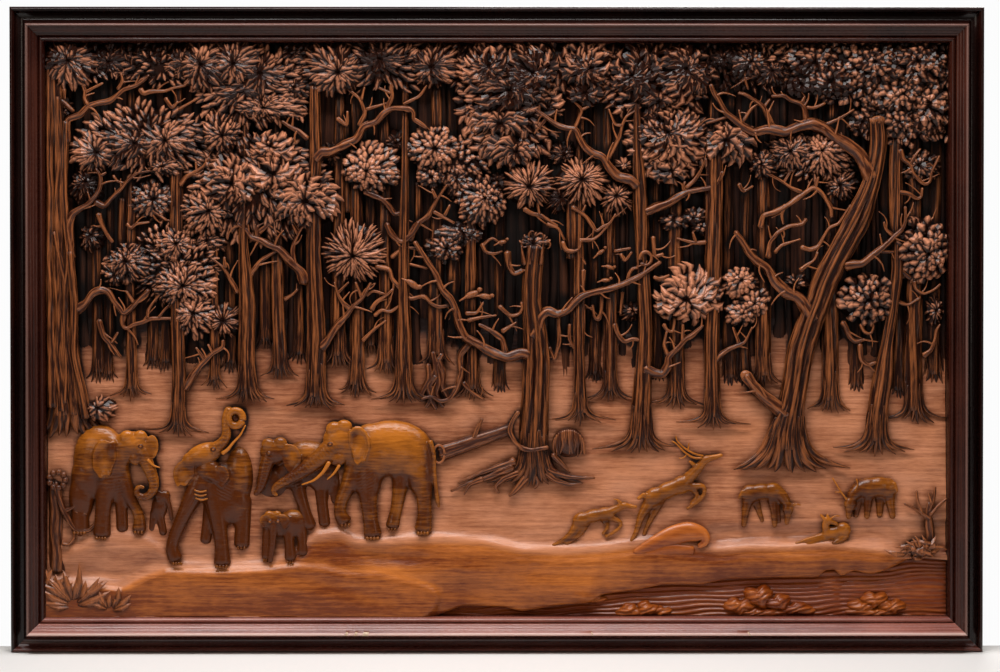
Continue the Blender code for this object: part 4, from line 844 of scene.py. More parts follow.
def addTwigs(carving, stations, draw, seed):
    look = twigLook
    path, along = smoothLine(stations, 2.5, 2)
    heading = np.gradient(path[:, :2], axis=0)
    side = draw.choice((-1, 1))
    place = along[-1] * 0.25 + draw.uniform(0, look["spacing"] * 0.5)
    number = 0
    while place < along[-1] * 0.97:
        at = min(len(path) - 1, int(np.searchsorted(along, place)))
        gx, gy, width, crown = path[at]
        turn = math.atan2(heading[at, 1], heading[at, 0]) + side * math.radians(draw.uniform(*look["turn"]))
        length = draw.uniform(*look["length"])
        bend = draw.uniform(-0.9, 0.9)
        start = min(look["width"], 0.55 * width)
        twig = [(gx, gy, start, crown - 1)]
        for share in (0.35, 0.7, 1.0):
            turn += bend * 0.6 + draw.uniform(-0.3, 0.3)
            gx, gy = gx + length * 0.34 * math.cos(turn), gy + length * 0.34 * math.sin(turn)
            twig.append((gx, gy, start * (1 - 0.62 * share), crown - 1 - 3 * share))
        if 50 < gx < lastColumn - 4 and 50 < gy < 402:
            addTube(carving, twig, step=2.2, ring=7, depth=0.95, seed=seed + number, rounds=2, knots=0.08, tone=0.5)
        side, number = -side, number + 1
        place += look["spacing"] * draw.uniform(0.7, 1.5)


def addBranches(carving):
    draw = np.random.default_rng(51)
    for number, (startWidth, endWidth, crown, *line) in enumerate(branches):
        share = np.linspace(0, 1, len(line))
        stations = [(gx, gy, 1.15 * (startWidth + (endWidth - startWidth) * part ** 0.8), crown - 2 * part)
                    for (gx, gy), part in zip(line, share)]
        ring = 14 if startWidth > 7 else 9
        flutes = ((5, 0.22, 12), (11, 0.10, 7)) if startWidth > 5 else ((3, 0.16, 8),)
        addTube(carving, stations, step=2.2, ring=ring, depth=0.95, flutes=flutes, seed=400 + number,
                rounds=2, knots=0.15, tone=0.5)
        if startWidth > twigLook["least"]:
            addTwigs(carving, stations, draw, 2000 + 20 * number)


# the wood far back, painted dark with stain and deep shade: close-set trunks cut as ridges into the board
backWood = {"spacing": 13.5, "width": 10.5, "columnStep": 1.05, "rows": 34, "foot": 362, "rise": 9}


def addBackWood(carving):
    look = backWood
    gx = np.arange(layout["firstColumn"] - 1, lastColumn + 1.5, look["columnStep"])
    gy = np.concatenate((np.linspace(layout["firstRow"] - 1, 300, look["rows"] - 12), np.linspace(308, 404, 12)))
    across, down = np.meshgrid(gx, gy)
    rise = 0.8 * waves(across, down * 0.15, 30, 41) - 1.5
    draw = np.random.default_rng(77)
    centre = layout["firstColumn"] + 4
    while centre < lastColumn:
        width = look["width"] * draw.uniform(0.55, 1.25)
        height = look["rise"] * draw.uniform(0.55, 1.15)
        foot = look["foot"] + draw.uniform(-32, 26)
        lean = draw.uniform(-0.03, 0.03)
        middle = centre + lean * (foot - down) + 1.3 * waves(down, down * 0, 90, int(centre))
        flare = 1 + 0.9 * np.exp(-np.abs(foot - down) / 9)
        off = np.abs(across - middle) / (width / 2 * flare)
        bark = 0.16 * np.abs(np.sin(across * 1.9 + 2.2 * waves(down, down * 0, 50, int(centre) + 3)))
        trunk = height * (np.sqrt(np.clip(1 - off ** 2, 0, 1)) - bark)
        trunk = np.where((off < 1) & (down < foot + 6), trunk, -9)
        rise = np.maximum(rise, trunk)
        centre += look["spacing"] * draw.uniform(0.75, 1.3)
    points = np.stack((across.ravel(), down.ravel(), rise.ravel()), axis=1)
    carving.add(points, gridQuads(len(gy), len(gx)), tone=0.45)


# leaves: many at once, each a small closed blade with a raised rib
def addBlades(carving, bases, tips, width, lift, bend, fold, tone, facing=None):
    # bases and tips in squares and rises; lift and bend are shares of the blade's length
    base, tip = bases.copy(), tips.copy()
    base[:, 2] /= perSquare
    tip[:, 2] /= perSquare
    run = tip - base
    length = np.linalg.norm(run, axis=1, keepdims=True)
    forward = run / np.maximum(length, 1e-6)
    toViewer = np.zeros_like(forward)
    toViewer[:, 2] = 1
    if facing is not None:
        toViewer = facing
    side = np.cross(toViewer, forward)
    side /= np.maximum(np.linalg.norm(side, axis=1, keepdims=True), 1e-6)
    normal = np.cross(forward, side)
    normal *= np.sign(normal[:, 2:3] + 1e-9)
    count = len(base)
    points = np.empty((count, 11, 3))
    points[:, 0] = base
    points[:, 10] = tip
    for station, (share, spread) in enumerate(((0.22, 0.74), (0.55, 1.0), (0.83, 0.62))):
        arch = math.sin(math.pi * share)
        middle = base + run * share + normal * (lift * arch)[:, None] * length
        middle += side * (bend * arch)[:, None] * length
        half = (width * spread / 2)[:, None]
        slot = 1 + station * 3
        points[:, slot] = middle + side * half
        points[:, slot + 1] = middle + normal * (fold * width * spread)[:, None]
        points[:, slot + 2] = middle - side * half
    points[:, :, 2] *= perSquare
    start = (np.arange(count) * 11)[:, None, None]
    triangles = np.array(((0, 2, 1), (0, 3, 2), (0, 1, 3), (10, 7, 8), (10, 8, 9), (10, 9, 7)))
    quads = []
    for station in (1, 4):
        quads += [(station, station + 1, station + 4, station + 3),
                  (station + 1, station + 2, station + 5, station + 4),
                  (station + 2, station, station + 3, station + 5)]
    quads = np.array(quads)
    # painted shade at the base and the edges, where the leaves overlap, and lighter along the rib, worn and painted as
    # highlight
    rubbingAndPaintedLight = np.array((-0.8, -0.45, 0.05, -0.45, -0.25, 0.42, -0.25, -0.05, 0.50, -0.05, 0.30))
    carving.add(points.reshape(-1, 3), (quads[None] + start).reshape(-1, 4), (triangles[None] + start).reshape(-1, 3),
                tone=(tone[:, None] + rubbingAndPaintedLight[None, :]).ravel())


def addDome(carving, gx, gy, reachX, reachY, rim, crown, seed, tone=0.05):
    # the mass of wood that a tuft's leaves are cut from, painted dark as the shade between the leaves
    rings, sides = 6, 22
    angle = np.linspace(0, 2 * math.pi, sides, endpoint=False)
    points = [(gx, gy, crown)]
    uneven = 1 + 0.07 * np.sin(3 * angle + seed) + 0.06 * np.sin(5 * angle + seed * 1.7)
    for ring in range(1, rings + 1):
        share = ring / rings
        rise = rim + (crown - rim) * (1 - share ** 2.2)
        if ring == rings:
            rise = 0
            share = 1.0
        for turn, swell in zip(angle, uneven):
            points.append((gx + reachX * share * swell * math.cos(turn), gy + reachY * share * swell * math.sin(turn),
                           rise))
    points.append((gx, gy, 0))
    number = np.arange(sides)
    triangles = [np.stack((np.zeros(sides, int), 1 + (number + 1) % sides, 1 + number), axis=1)]
    quads = []
    for ring in range(rings - 1):
        low, high = 1 + ring * sides, 1 + (ring + 1) * sides
        quads.append(np.stack((low + number, low + (number + 1) % sides, high + (number + 1) % sides, high + number),
                              axis=1))
    last = 1 + (rings - 1) * sides
    triangles.append(np.stack((np.full(sides, len(points) - 1), last + number, last + (number + 1) % sides), axis=1))
    points = np.array(points, dtype=float)
    quads, triangles = np.concatenate(quads), np.concatenate(triangles)
    if signedVolume(toWorld(points), quads, triangles) < 0:
        quads, triangles = quads[:, ::-1], triangles[:, ::-1]
    carving.add(points, quads, triangles, tone=tone)


leafStyles = {
    "lance": {"length": 18, "width": 6.0, "pitch": 5.4, "ring": 6.4, "lift": 0.10, "bend": 0.10, "fold": 0.30,
              "proud": 3.0},
    "curl": {"length": 18, "width": 7.2, "pitch": 6.4, "ring": 6.8, "lift": 0.18, "bend": 0.30, "fold": 0.32,
             "proud": 3.6},
    "small": {"length": 12, "width": 4.8, "pitch": 4.5, "ring": 5.0, "lift": 0.12, "bend": 0.12, "fold": 0.32,
              "proud": 2.6},
    "oval": {"length": 10, "width": 6.2, "pitch": 5.6, "ring": 5.0, "lift": 0.14, "bend": 0.08, "fold": 0.24,
             "proud": 2.6},
    "cup": {"length": 11, "width": 7.6, "pitch": 6.8, "ring": 5.8, "lift": 0.24, "bend": 0.16, "fold": 0.20,
            "proud": 3.2},
    "needle": {"length": 20, "width": 4.0, "pitch": 3.7, "ring": 7.6, "lift": 0.10, "bend": 0.05, "fold": 0.4,
               "proud": 2.8},
}


def addTuft(carving, gx, gy, reachX, reachY, style, rim, crown, seed):
    look = leafStyles[style]
    draw = np.random.default_rng(seed)
    addDome(carving, gx, gy, reachX * 0.93, reachY * 0.93, rim - 4, crown - 5, seed)
    size = (reachX + reachY) / 2
    ringCount = max(2, int(size / look["ring"]))
    lobes, lobeTurn = draw.integers(4, 8), draw.uniform(0, 6)
    offX, offY = draw.uniform(-0.24, 0.24) * reachX, draw.uniform(-0.24, 0.24) * reachY
    # painted shade: tufts further back are darker, and tufts under the top rail are darker still, as in its shade
    shade = (crown - 38) * 0.012 + draw.uniform(-0.08, 0.08) - 0.30 * float(ease((112 - gy) / 30))
    for ring in range(ringCount):
        share = 1.05 - ring * look["ring"] / size
        if share < 0.16:
            break
        count = max(5, int(2 * math.pi * share * size / look["pitch"]))
        angle = (np.arange(count) + draw.uniform(-0.3, 0.3, count) + 0.5 * (ring % 2)) * 2 * math.pi / count
        swell = 1 + 0.05 * np.sin(lobes * angle + lobeTurn) + draw.uniform(-0.035, 0.035, count)
        length = look["length"] * draw.uniform(0.8, 1.15, count) * min(1.0, 0.55 + size / 50)
        outer = share * swell
        inner = np.maximum(outer - length / size, 0.02)
        heading = angle + draw.uniform(-0.26, 0.26, count)
        swing = draw.choice((-1, 1), count) if style != "curl" else np.where(np.sin(angle + seed) > 0, 1, -1)

        def placed(part, turn, proud):
            rise = rim + (crown - rim) * (1 - np.clip(part, 0, 1) ** 2.2) + proud
            inward = 1 - np.clip(part, 0, 1)
            return np.stack((gx + offX * inward + reachX * part * np.cos(turn),
                             gy + offY * inward + reachY * part * np.sin(turn), rise), axis=1)

        droop = -5.0 if ring == 0 else look["proud"]
        tips = placed(outer, heading, droop + draw.uniform(-1.2, 1.2, count))
        bases = placed(inner, angle, -2.0)
        tips[:, 2] = np.minimum(tips[:, 2], layout["fullRise"] - 0.6)
        addBlades(carving, bases, tips, look["width"] * draw.uniform(0.85, 1.15, count),
                  look["lift"] * draw.uniform(0.4, 1.5, count), look["bend"] * swing * draw.uniform(0.4, 1.3, count),
                  np.full(count, look["fold"]),
                  draw.uniform(0.32, 0.66, count) + shade)


def addMat(carving, left, top, right, bottom, rise, style, spacing, seed):
    # leaves that fill the canopy between its tufts, laid like shingles
    look = leafStyles[style]
    draw = np.random.default_rng(seed)
    across, down = np.meshgrid(np.arange(left, right, spacing), np.arange(top, bottom, spacing * 0.8))
    gx = across.ravel() + draw.uniform(-0.45, 0.45, across.size) * spacing
    gy = down.ravel() + draw.uniform(-0.45, 0.45, across.size) * spacing
    turn = math.pi / 2 + 1.3 * waves(gx, gy, 60, seed) + draw.uniform(-0.5, 0.5, gx.size)
    length = look["length"] * draw.uniform(0.7, 1.0, gx.size)
    height = rise + 6 + 2.5 * waves(gx, gy, 34, seed + 1) + draw.uniform(-1, 1, gx.size)
    bases = np.stack((gx, gy, height - 2), axis=1)
    tips = np.stack((gx + length * np.cos(turn), gy + length * np.sin(turn), height + 3), axis=1)
    # leaves under the top rail are painted darker, as in its shade
    addBlades(carving, bases, tips, look["width"] * draw.uniform(0.8, 1.1, gx.size),
              look["lift"] * draw.uniform(0.4, 1.5, gx.size), look["bend"] * draw.uniform(-1, 1, gx.size),
              np.full(gx.size, look["fold"]), draw.uniform(0.3, 0.6, gx.size) - 0.30 * ease((112 - gy) / 30))


def addMass(carving, gx, gy, reachX, reachY, rim, crown, style, spacing, seed):
    # leaves over a low dome, pointing out and down
    rim, crown = rim + 5, crown + 4
    look = leafStyles[style]
    draw = np.random.default_rng(seed)
    addDome(carving, gx, gy, reachX * 0.95, reachY * 0.95, rim - 3, crown - 3, seed)
    across, down = np.meshgrid(np.arange(-reachX, reachX, spacing), np.arange(-reachY, reachY, spacing * 0.8))
    across = across.ravel() + draw.uniform(-0.45, 0.45, across.size) * spacing
    down = down.ravel() + draw.uniform(-0.45, 0.45, down.size) * spacing
    off = np.hypot(across / reachX, down / reachY)
    across, down, off = across[off < 0.97], down[off < 0.97], off[off < 0.97]
    turn = np.arctan2(down, across) + 0.8 * waves(across, down, 40, seed) + draw.uniform(-0.35, 0.35, off.size)
    length = look["length"] * draw.uniform(0.7, 1.0, off.size)
    height = rim + (crown - rim) * (1 - off ** 2) + draw.uniform(-1, 1, off.size)
    bases = np.stack((gx + across, gy + down, height - 2), axis=1)
    tips = np.stack((gx + across + length * np.cos(turn), gy + down + length * np.sin(turn), height + 2.6 - 5 * off),
                    axis=1)
    addBlades(carving, bases, tips, look["width"] * draw.uniform(0.8, 1.1, off.size),
              look["lift"] * draw.uniform(0.4, 1.5, off.size), look["bend"] * draw.uniform(-1, 1, off.size),
              np.full(off.size, look["fold"]), draw.uniform(0.3, 0.6, off.size))


# masses: centre, reach right and down, rises of rim and crown, leaf, spacing
masses = (
    (144, 138, 58, 30, 18, 33, "lance", 6.4), (258, 186, 66, 48, 16, 31, "lance", 6.6),
    (172, 262, 42, 38, 14, 30, "small", 5.6), (160, 66, 44, 16, 18, 32, "small", 5.6),
    (250, 84, 52, 34, 18, 34, "lance", 6.4), (378, 62, 90, 22, 18, 32, "lance", 6.6),
    (506, 100, 46, 58, 16, 32, "curl", 7.0), (556, 60, 60, 20, 18, 32, "curl", 7.0),
    (655, 80, 52, 32, 18, 34, "curl", 7.0), (866, 72, 82, 30, 18, 32, "cup", 6.8),
    (905, 108, 42, 32, 16, 31, "cup", 6.8), (760, 60, 46, 18, 14, 26, "small", 5.6),
    (808, 152, 42, 24, 16, 30, "small", 5.6), (668, 140, 38, 32, 16, 30, "curl", 7.0),
    (450, 160, 36, 24, 10, 24, "oval", 6.0), (215, 205, 30, 24, 14, 28, "small", 5.6),
)
# mats of leaves: left, top, right, bottom, rise, leaf, spacing
mats = (
    (46, 40, 200, 72, 20, "small", 6.4), (120, 60, 210, 74, 16, "small", 6.6), (200, 80, 300, 112, 16, "small", 6.4),
    (290, 40, 470, 70, 20, "small", 6.4), (460, 40, 700, 84, 20, "lance", 7.0), (480, 84, 540, 150, 16, "small", 7.0),
    (700, 40, 800, 82, 16, "small", 6.4), (790, 40, 946, 92, 20, "oval", 6.4), (860, 90, 946, 134, 18, "oval", 6.4),
)


# foliage: centre, reach right and down, the leaf, the rises of rim and crown
foliage = (
    (70, 64, 29, 25, "lance", 32, 47), (112, 58, 24, 18, "small", 18, 32), (148, 58, 24, 17, "small", 18, 30),
    (184, 62, 26, 20, "small", 24, 40), (206, 66, 30, 27, "lance", 32, 46), (236, 62, 30, 26, "lance", 34, 48),
    (262, 76, 27, 24, "lance", 30, 44), (238, 92, 34, 14, "lance", 24, 38), (268, 103, 40, 17, "small", 24, 38),
    (296, 88, 16, 14, "small", 24, 36), (331, 66, 31, 28, "lance", 32, 47), (382, 62, 29, 20, "small", 26, 40),
    (433, 63, 28, 23, "lance", 32, 46), (484, 66, 30, 26, "curl", 32, 47), (524, 66, 32, 28, "curl", 32, 48),
    (504, 94, 40, 22, "curl", 30, 46), (500, 122, 34, 18, "curl", 26, 42), (507, 150, 30, 17, "curl", 24, 40),
    (583, 64, 29, 26, "curl", 32, 47), (583, 90, 20, 14, "curl", 26, 40), (634, 72, 28, 28, "curl", 32, 47),
    (676, 74, 30, 30, "curl", 32, 48), (655, 100, 22, 12, "curl", 26, 40),
    (806, 60, 26, 18, "cup", 26, 42), (828, 78, 28, 18, "cup", 28, 44), (800, 84, 18, 12, "cup", 24, 36),
    (874, 66, 28, 22, "cup", 30, 46), (912, 66, 30, 24, "cup", 30, 46), (896, 96, 28, 20, "cup", 28, 44),
    (928, 108, 20, 26, "cup", 28, 42), (892, 120, 20, 16, "cup", 26, 40),
    (163, 138, 32, 22, "lance", 28, 43), (128, 140, 30, 22, "lance", 24, 38), (92, 150, 26, 22, "lance", 24, 40),
    (165, 163, 19, 11, "small", 24, 36), (219, 130, 21, 23, "small", 26, 41), (85, 184, 18, 22, "small", 12, 26),
    (151, 198, 26, 21, "oval", 14, 28), (271, 146, 24, 18, "curl", 26, 41), (271, 170, 31, 23, "curl", 26, 43),
    (228, 180, 29, 29, "curl", 26, 43), (204, 210, 25, 24, "small", 24, 40), (303, 197, 37, 30, "curl", 27, 44),
    (353, 249, 32, 31, "needle", 24, 43), (371, 165, 29, 25, "oval", 26, 42), (430, 147, 27, 22, "oval", 26, 41),
    (428, 175, 14, 11, "oval", 24, 36), (455, 175, 15, 24, "oval", 12, 26), (478, 200, 24, 26, "oval", 24, 39),
    (442, 245, 21, 16, "oval", 14, 28), (455, 233, 27, 13, "oval", 14, 27), (129, 262, 26, 20, "small", 24, 40),
    (115, 270, 15, 14, "small", 22, 36), (172, 245, 23, 20, "small", 22, 38), (183, 281, 32, 26, "small", 26, 42),
    (192, 312, 24, 24, "small", 24, 40), (222, 318, 21, 19, "needle", 16, 30), (207, 240, 20, 12, "small", 12, 24),
    (527, 182, 27, 24, "needle", 24, 41), (580, 180, 27, 25, "needle", 24, 41), (555, 196, 17, 16, "needle", 14, 28),
    (615, 196, 17, 18, "needle", 22, 36), (620, 165, 10, 10, "needle", 20, 32), (547, 103, 13, 13, "small", 14, 28),
    (670, 138, 36, 34, "curl", 27, 45), (665, 168, 21, 12, "curl", 24, 38), (728, 141, 27, 24, "curl", 24, 42),
    (761, 162, 15, 15, "small", 22, 36), (790, 150, 24, 22, "small", 24, 40), (822, 152, 27, 25, "small", 24, 41),
    (840, 182, 19, 17, "small", 14, 28), (687, 291, 36, 30, "curl", 24, 43), (628, 309, 14, 10, "needle", 14, 26),
    (864, 297, 29, 25, "cup", 24, 41), (918, 247, 28, 33, "cup", 24, 42), (919, 165, 20, 18, "oval", 12, 26),
    (932, 308, 9, 16, "small", 12, 25), (795, 281, 14, 10, "small", 12, 24), (100, 406, 17, 13, "lance", 26, 40),
    (60, 110, 14, 16, "small", 12, 26), (246, 216, 16, 12, "small", 10, 22), (330, 152, 16, 12, "small", 10, 22),
    (395, 140, 16, 14, "small", 8, 20), (498, 182, 14, 12, "small", 10, 22), (700, 180, 14, 12, "small", 8, 20),
    (858, 120, 14, 14, "cup", 12, 26), (560, 150, 16, 14, "small", 8, 20), (90, 236, 14, 14, "small", 10, 22),
    (744, 62, 22, 18, "oval", 26, 38), (768, 72, 18, 15, "small", 24, 36), (722, 56, 17, 13, "small", 22, 34),
    (738, 281, 19, 16, "oval", 22, 38), (752, 298, 16, 16, "oval", 22, 37), (738, 311, 17, 13, "oval", 20, 35),
    (533, 240, 15, 10, "small", 30, 42), (672, 220, 16, 9, "oval", 14, 27), (692, 214, 14, 9, "oval", 14, 28), (700, 226, 12, 8, "oval", 12, 26),
)

# figures: made as rough bodies, fused and smoothed into one skin
def ballShape(gx, gy, reachX, reachY, turn, crown, depth, rings=10, sides=20):
    # an ellipsoid; depth is its half thickness in rises
    cosine, sine = math.cos(math.radians(turn)), math.sin(math.radians(turn))
    polar = np.linspace(0, math.pi, rings + 2)[1:-1]
    around = np.linspace(0, 2 * math.pi, sides, endpoint=False)
    across = reachX * np.cos(around)[None, :] * np.sin(polar)[:, None]
    down = reachY * np.sin(around)[None, :] * np.sin(polar)[:, None]
    rise = (crown - depth) + depth * np.cos(polar)[:, None] * np.ones(sides)[None, :]
    points = np.stack((gx + across * cosine - down * sine, gy + across * sine + down * cosine, rise), axis=2)
    points = np.vstack((points.reshape(-1, 3), (gx, gy, crown), (gx, gy, crown - 2 * depth)))
    number = np.arange(sides)
    quads = []
    for ring in range(rings - 1):
        low, high = ring * sides, (ring + 1) * sides
        quads.append(np.stack((low + number, high + number, high + (number + 1) % sides, low + (number + 1) % sides),
                              axis=1))
    top, low = rings * sides, (rings - 1) * sides
    triangles = np.vstack((np.stack((np.full(sides, top), number, (number + 1) % sides), axis=1),
                           np.stack((np.full(sides, top + 1), low + (number + 1) % sides, low + number), axis=1)))
    quads = np.concatenate(quads)
    if signedVolume(toWorld(points), quads, triangles) < 0:
        quads, triangles = quads[:, ::-1], triangles[:, ::-1]
    return points, quads, triangles


def plateShape(outline, crown, thick, dish):
    # a thin shape such as an ear: its outline, the rise of its rim, its thickness and its hollow
    ring = np.array(outline, dtype=float)
    for _ in range(2):
        after = np.roll(ring, -1, axis=0)
        ring = np.stack((ring * 0.75 + after * 0.25, ring * 0.25 + after * 0.75), axis=1).reshape(-1, 2)
    middle = ring.mean(axis=0)
    count = len(ring)
    layers = []
    for share, rise in ((1.0, crown - thick), (1.0, crown), (0.6, crown - dish), (0.25, crown - dish * 0.6)):
        layer = middle + (ring - middle) * share
        layers.append(np.column_stack((layer, np.full(count, rise))))
    points = np.vstack((*layers, (*middle, crown - dish * 0.5), (*middle, crown - thick)))
    number = np.arange(count)
    after = (number + 1) % count
    quads = [np.stack((k * count + number, k * count + after, (k + 1) * count + after, (k + 1) * count + number), axis=1)
             for k in range(3)]
    top = 4 * count
    triangles = np.vstack((np.stack((3 * count + number, 3 * count + after, np.full(count, top)), axis=1),
                           np.stack((after, number, np.full(count, top + 1)), axis=1)))
    quads = np.concatenate(quads)
    if signedVolume(toWorld(points), quads, triangles) < 0:
        quads, triangles = quads[:, ::-1], triangles[:, ::-1]
    return points, quads, triangles


def weld(name, meshes, voxel, smooth, keep=1.0):
    # joins rough bodies into one eased skin; keep is the share of its faces kept at the end
    points, faces, total = [], [], 0
    for world, groups in meshes:
        points.append(world)
        for group in groups:
            faces += (np.asarray(group) + total).tolist()
        total += len(world)
    mesh = bpy.data.meshes.new(name + " rough")
    mesh.from_pydata(np.concatenate(points).tolist(), [], faces)
    rough = bpy.data.objects.new(name + " rough", mesh)
    bpy.context.scene.collection.objects.link(rough)
    if voxel:
        remesh = rough.modifiers.new("skin", "REMESH")
        remesh.mode = "VOXEL"
        remesh.voxel_size = voxel
        soften = rough.modifiers.new("soften", "SMOOTH")
        soften.factor = 0.5
        soften.iterations = smooth
    if keep < 1:
        thin = rough.modifiers.new("thin", "DECIMATE")
        thin.ratio = keep
    graph = bpy.context.evaluated_depsgraph_get()
    skin = bpy.data.meshes.new_from_object(rough.evaluated_get(graph))
    bpy.data.objects.remove(rough, do_unlink=True)
    return skin


def toLayout(world):
    points = np.empty_like(world)
    points[:, 0] = (world[:, 0] - openLeft) / squareX + layout["firstColumn"]
    points[:, 1] = (openTop - world[:, 2]) / squareZ + layout["firstRow"]
    points[:, 2] = (boardFront - world[:, 1]) / riseStep
    return points


def cutBack(skin, rise):
    # takes away what is sunk in the board behind a figure and closes the cut
    work = bmesh.new()
    work.from_mesh(skin)
    plane = boardFront - rise * riseStep
    geometry = work.verts[:] + work.edges[:] + work.faces[:]
    cut = bmesh.ops.bisect_plane(work, geom=geometry, plane_co=(0, plane, 0), plane_no=(0, 1, 0),
                                 clear_outer=True)
    rim = [item for item in cut["geom_cut"] if isinstance(item, bmesh.types.BMEdge)]
    if rim:
        bmesh.ops.holes_fill(work, edges=rim, sides=0)
    bmesh.ops.triangulate(work, faces=[face for face in work.faces if len(face.verts) > 4])
    work.to_mesh(skin)
    work.free()
    return skin


def meshArrays(mesh):
    points = np.empty(len(mesh.vertices) * 3)
    mesh.vertices.foreach_get("co", points)
    quads, triangles = [], []
    for face in mesh.polygons:
        (quads if len(face.vertices) == 4 else triangles).append(tuple(face.vertices))
    return (points.reshape(-1, 3), np.array(quads, dtype=int).reshape(-1, 4),
            np.array(triangles, dtype=int).reshape(-1, 3))


def withoutFlecks(mesh, least=150):
    # drops any crumb that has come loose from the figure
    whole = bmesh.new()
    whole.from_mesh(mesh)
    seen, crumbs = set(), []
    for start in whole.verts:
        if start in seen:
            continue
        island, edge = [start], [start]
        seen.add(start)
        while edge:
            for link in edge.pop().link_edges:
                for point in link.verts:
                    if point not in seen:
                        seen.add(point)
                        island.append(point)
                        edge.append(point)
        if len(island) < least:
            crumbs += island
    bmesh.ops.delete(whole, geom=crumbs, context="VERTS")
    whole.to_mesh(mesh)
    whole.free()
    return mesh


def nearLine(points, line):
    # how far each point lies from a limb's middle line, as a share of its half width, and how far along
    stations = np.array(line, dtype=float)
    best = np.full(len(points), 9.0)
    along = np.zeros(len(points))
    reach = 0.0
    for start, end in zip(stations[:-1], stations[1:]):
        run = end[:2] - start[:2]
        size = np.hypot(*run)
        share = np.clip((points[:, :2] - start[:2]) @ run / size ** 2, 0, 1)
        middle = start[:2] + share[:, None] * run
        off = np.hypot(*(points[:, :2] - middle).T) / ((start[2] + share * (end[2] - start[2])) / 2)
        closer = off < best
        best = np.where(closer, off, best)
        along = np.where(closer, reach + share * size, along)
        reach += size
    return best, along


def roughShape(kind, *values):
    if kind == "ball":
        made = ballShape(*values)
    elif kind == "limb":
        line, depth = values
        made = tubeShape(line, step=4, ring=14, depth=depth, rounds=2, ends=0.7)
    else:
        made = plateShape(*values)
    return toWorld(made[0]), made[1:3]


def addFigure(carving, name, body, crisp, voxel=0.0017, soft=26, smooth=4, sunk=10, keep=0.40, tone=0.5,
              wrinkles=(), hatches=(), fineWrinkles=0.0, litAndShadedPatches=(), fade=0.5):
    skin = weld(name, [roughShape(*part) for part in body], voxel * 1.15, soft)
    points, quads, triangles = meshArrays(skin)
    bpy.data.meshes.remove(skin)
    shapes = [(points, (quads, triangles))] + [roughShape(*part) for part in crisp]
    skin = weld(name, shapes, voxel, smooth)
    points, quads, triangles = meshArrays(skin)
    bpy.data.meshes.remove(skin)
    points = toLayout(points)
    for line, pitch, depth in wrinkles:
        off, along = nearLine(points, line)
        groove = np.clip(1.15 - off, 0, 1) * (0.5 + 0.5 * np.cos(2 * math.pi * along / pitch)) ** 3
        points[:, 2] -= depth * groove
    for gx, gy, reachX, reachY, turn, pitch, depth in hatches:
        # a patch of creased hide
        slope = math.radians(turn)
        across, down = points[:, 0] - gx, points[:, 1] - gy
        patch = ease(1.4 * (1 - np.hypot(across / reachX, down / reachY)))
        line = across * math.sin(slope) + down * math.cos(slope) + 1.1 * waves(across, down, 16, 7)
        points[:, 2] -= depth * patch * (0.5 + 0.5 * np.cos(2 * math.pi * line / pitch)) ** 2
    if fineWrinkles:
        lines = np.abs(waves(points[:, 0] * 0.6, points[:, 1] * 2.4, 14, 5))
        points[:, 2] -= fineWrinkles * (1 - np.clip(lines * 3.0, 0, 1)) ** 2
    skin = weld(name, [(toWorld(points), (quads, triangles))], None, 0, keep)
    points, quads, triangles = meshArrays(withoutFlecks(cutBack(skin, sunk)))
    bpy.data.meshes.remove(skin)
    points = toLayout(points)
    top, foot = points[:, 1].min(), points[:, 1].max()
    # painted light: each figure is lighter at its top and darker towards its feet, as if lit from above
    shade = tone + fade * (0.42 - (points[:, 1] - top) / (foot - top))
    # patches of painted highlight and painted shade
    for gx, gy, reachX, reachY, amount in litAndShadedPatches:
        shade += amount * swelling(points[:, 0], points[:, 1], gx, gy, reachX, reachY)
    carving.add(points, quads, triangles, tone=shade)


# each elephant: eased body, crisp parts; balls are (gx, gy, reach right, reach down, turn, crown, depth)
trunkA = ((137, 437, 17, 49), (143, 450, 15.5, 50), (147, 461, 13.5, 50), (152, 472, 12, 50), (155, 483, 10, 50),
          (151, 491, 8.4, 50), (143, 495.5, 7.4, 50), (136, 491, 6.4, 49), (135, 485, 5.4, 49), (140, 481, 4.6, 49),
          (144, 484, 3.6, 49))
elephantA = (
    (("ball", 98, 456, 27, 35, 0, 45, 26), ("ball", 86, 474, 17, 26, 0, 42, 22), ("ball", 112, 456, 17, 26, 0, 45, 20),
     ("ball", 80, 494, 13, 26, 0, 40, 18), ("limb", ((80, 490, 24, 36), (79, 510, 18, 38), (79, 528, 20, 40)), 0.75),
     ("ball", 106, 478, 13, 24, 0, 45, 18),
     ("limb", ((106, 470, 22, 42), (104, 490, 19, 45), (102, 510, 16, 45), (101, 532, 19, 47)), 0.8),
     ("limb", ((119, 462, 17, 34), (124, 482, 15, 38), (131, 499, 12.5, 39), (139, 513, 11, 40), (138, 527, 16, 42)), 0.85),
     ("limb", ((118, 480, 16, 32), (120, 505, 13, 33), (121, 527, 13, 35)), 0.8),
     ("ball", 128, 444, 17, 16, 0, 46, 18)),
    (("ball", 133, 441, 14, 13, 0, 49, 15), ("ball", 127, 433, 7.5, 6, 0, 49, 9), ("ball", 140, 433, 7, 6, 0, 49, 9),
     ("ball", 135, 455, 7, 7, 0, 46, 9), ("limb", trunkA, 0.75),
     ("ear", ((97, 441), (104, 436), (112, 439), (117, 448), (116, 458), (113, 464), (110, 474), (105, 470), (101, 477),
              (97, 470), (93, 465), (93, 450)), 48.8, 5, 3.5),
     ("ball", 112, 445, 5, 9, 10, 49.5, 7),
     ("ear", ((147, 433), (154, 431), (159, 440), (157, 452), (151, 457), (147, 446)), 44, 5, 2)),
)
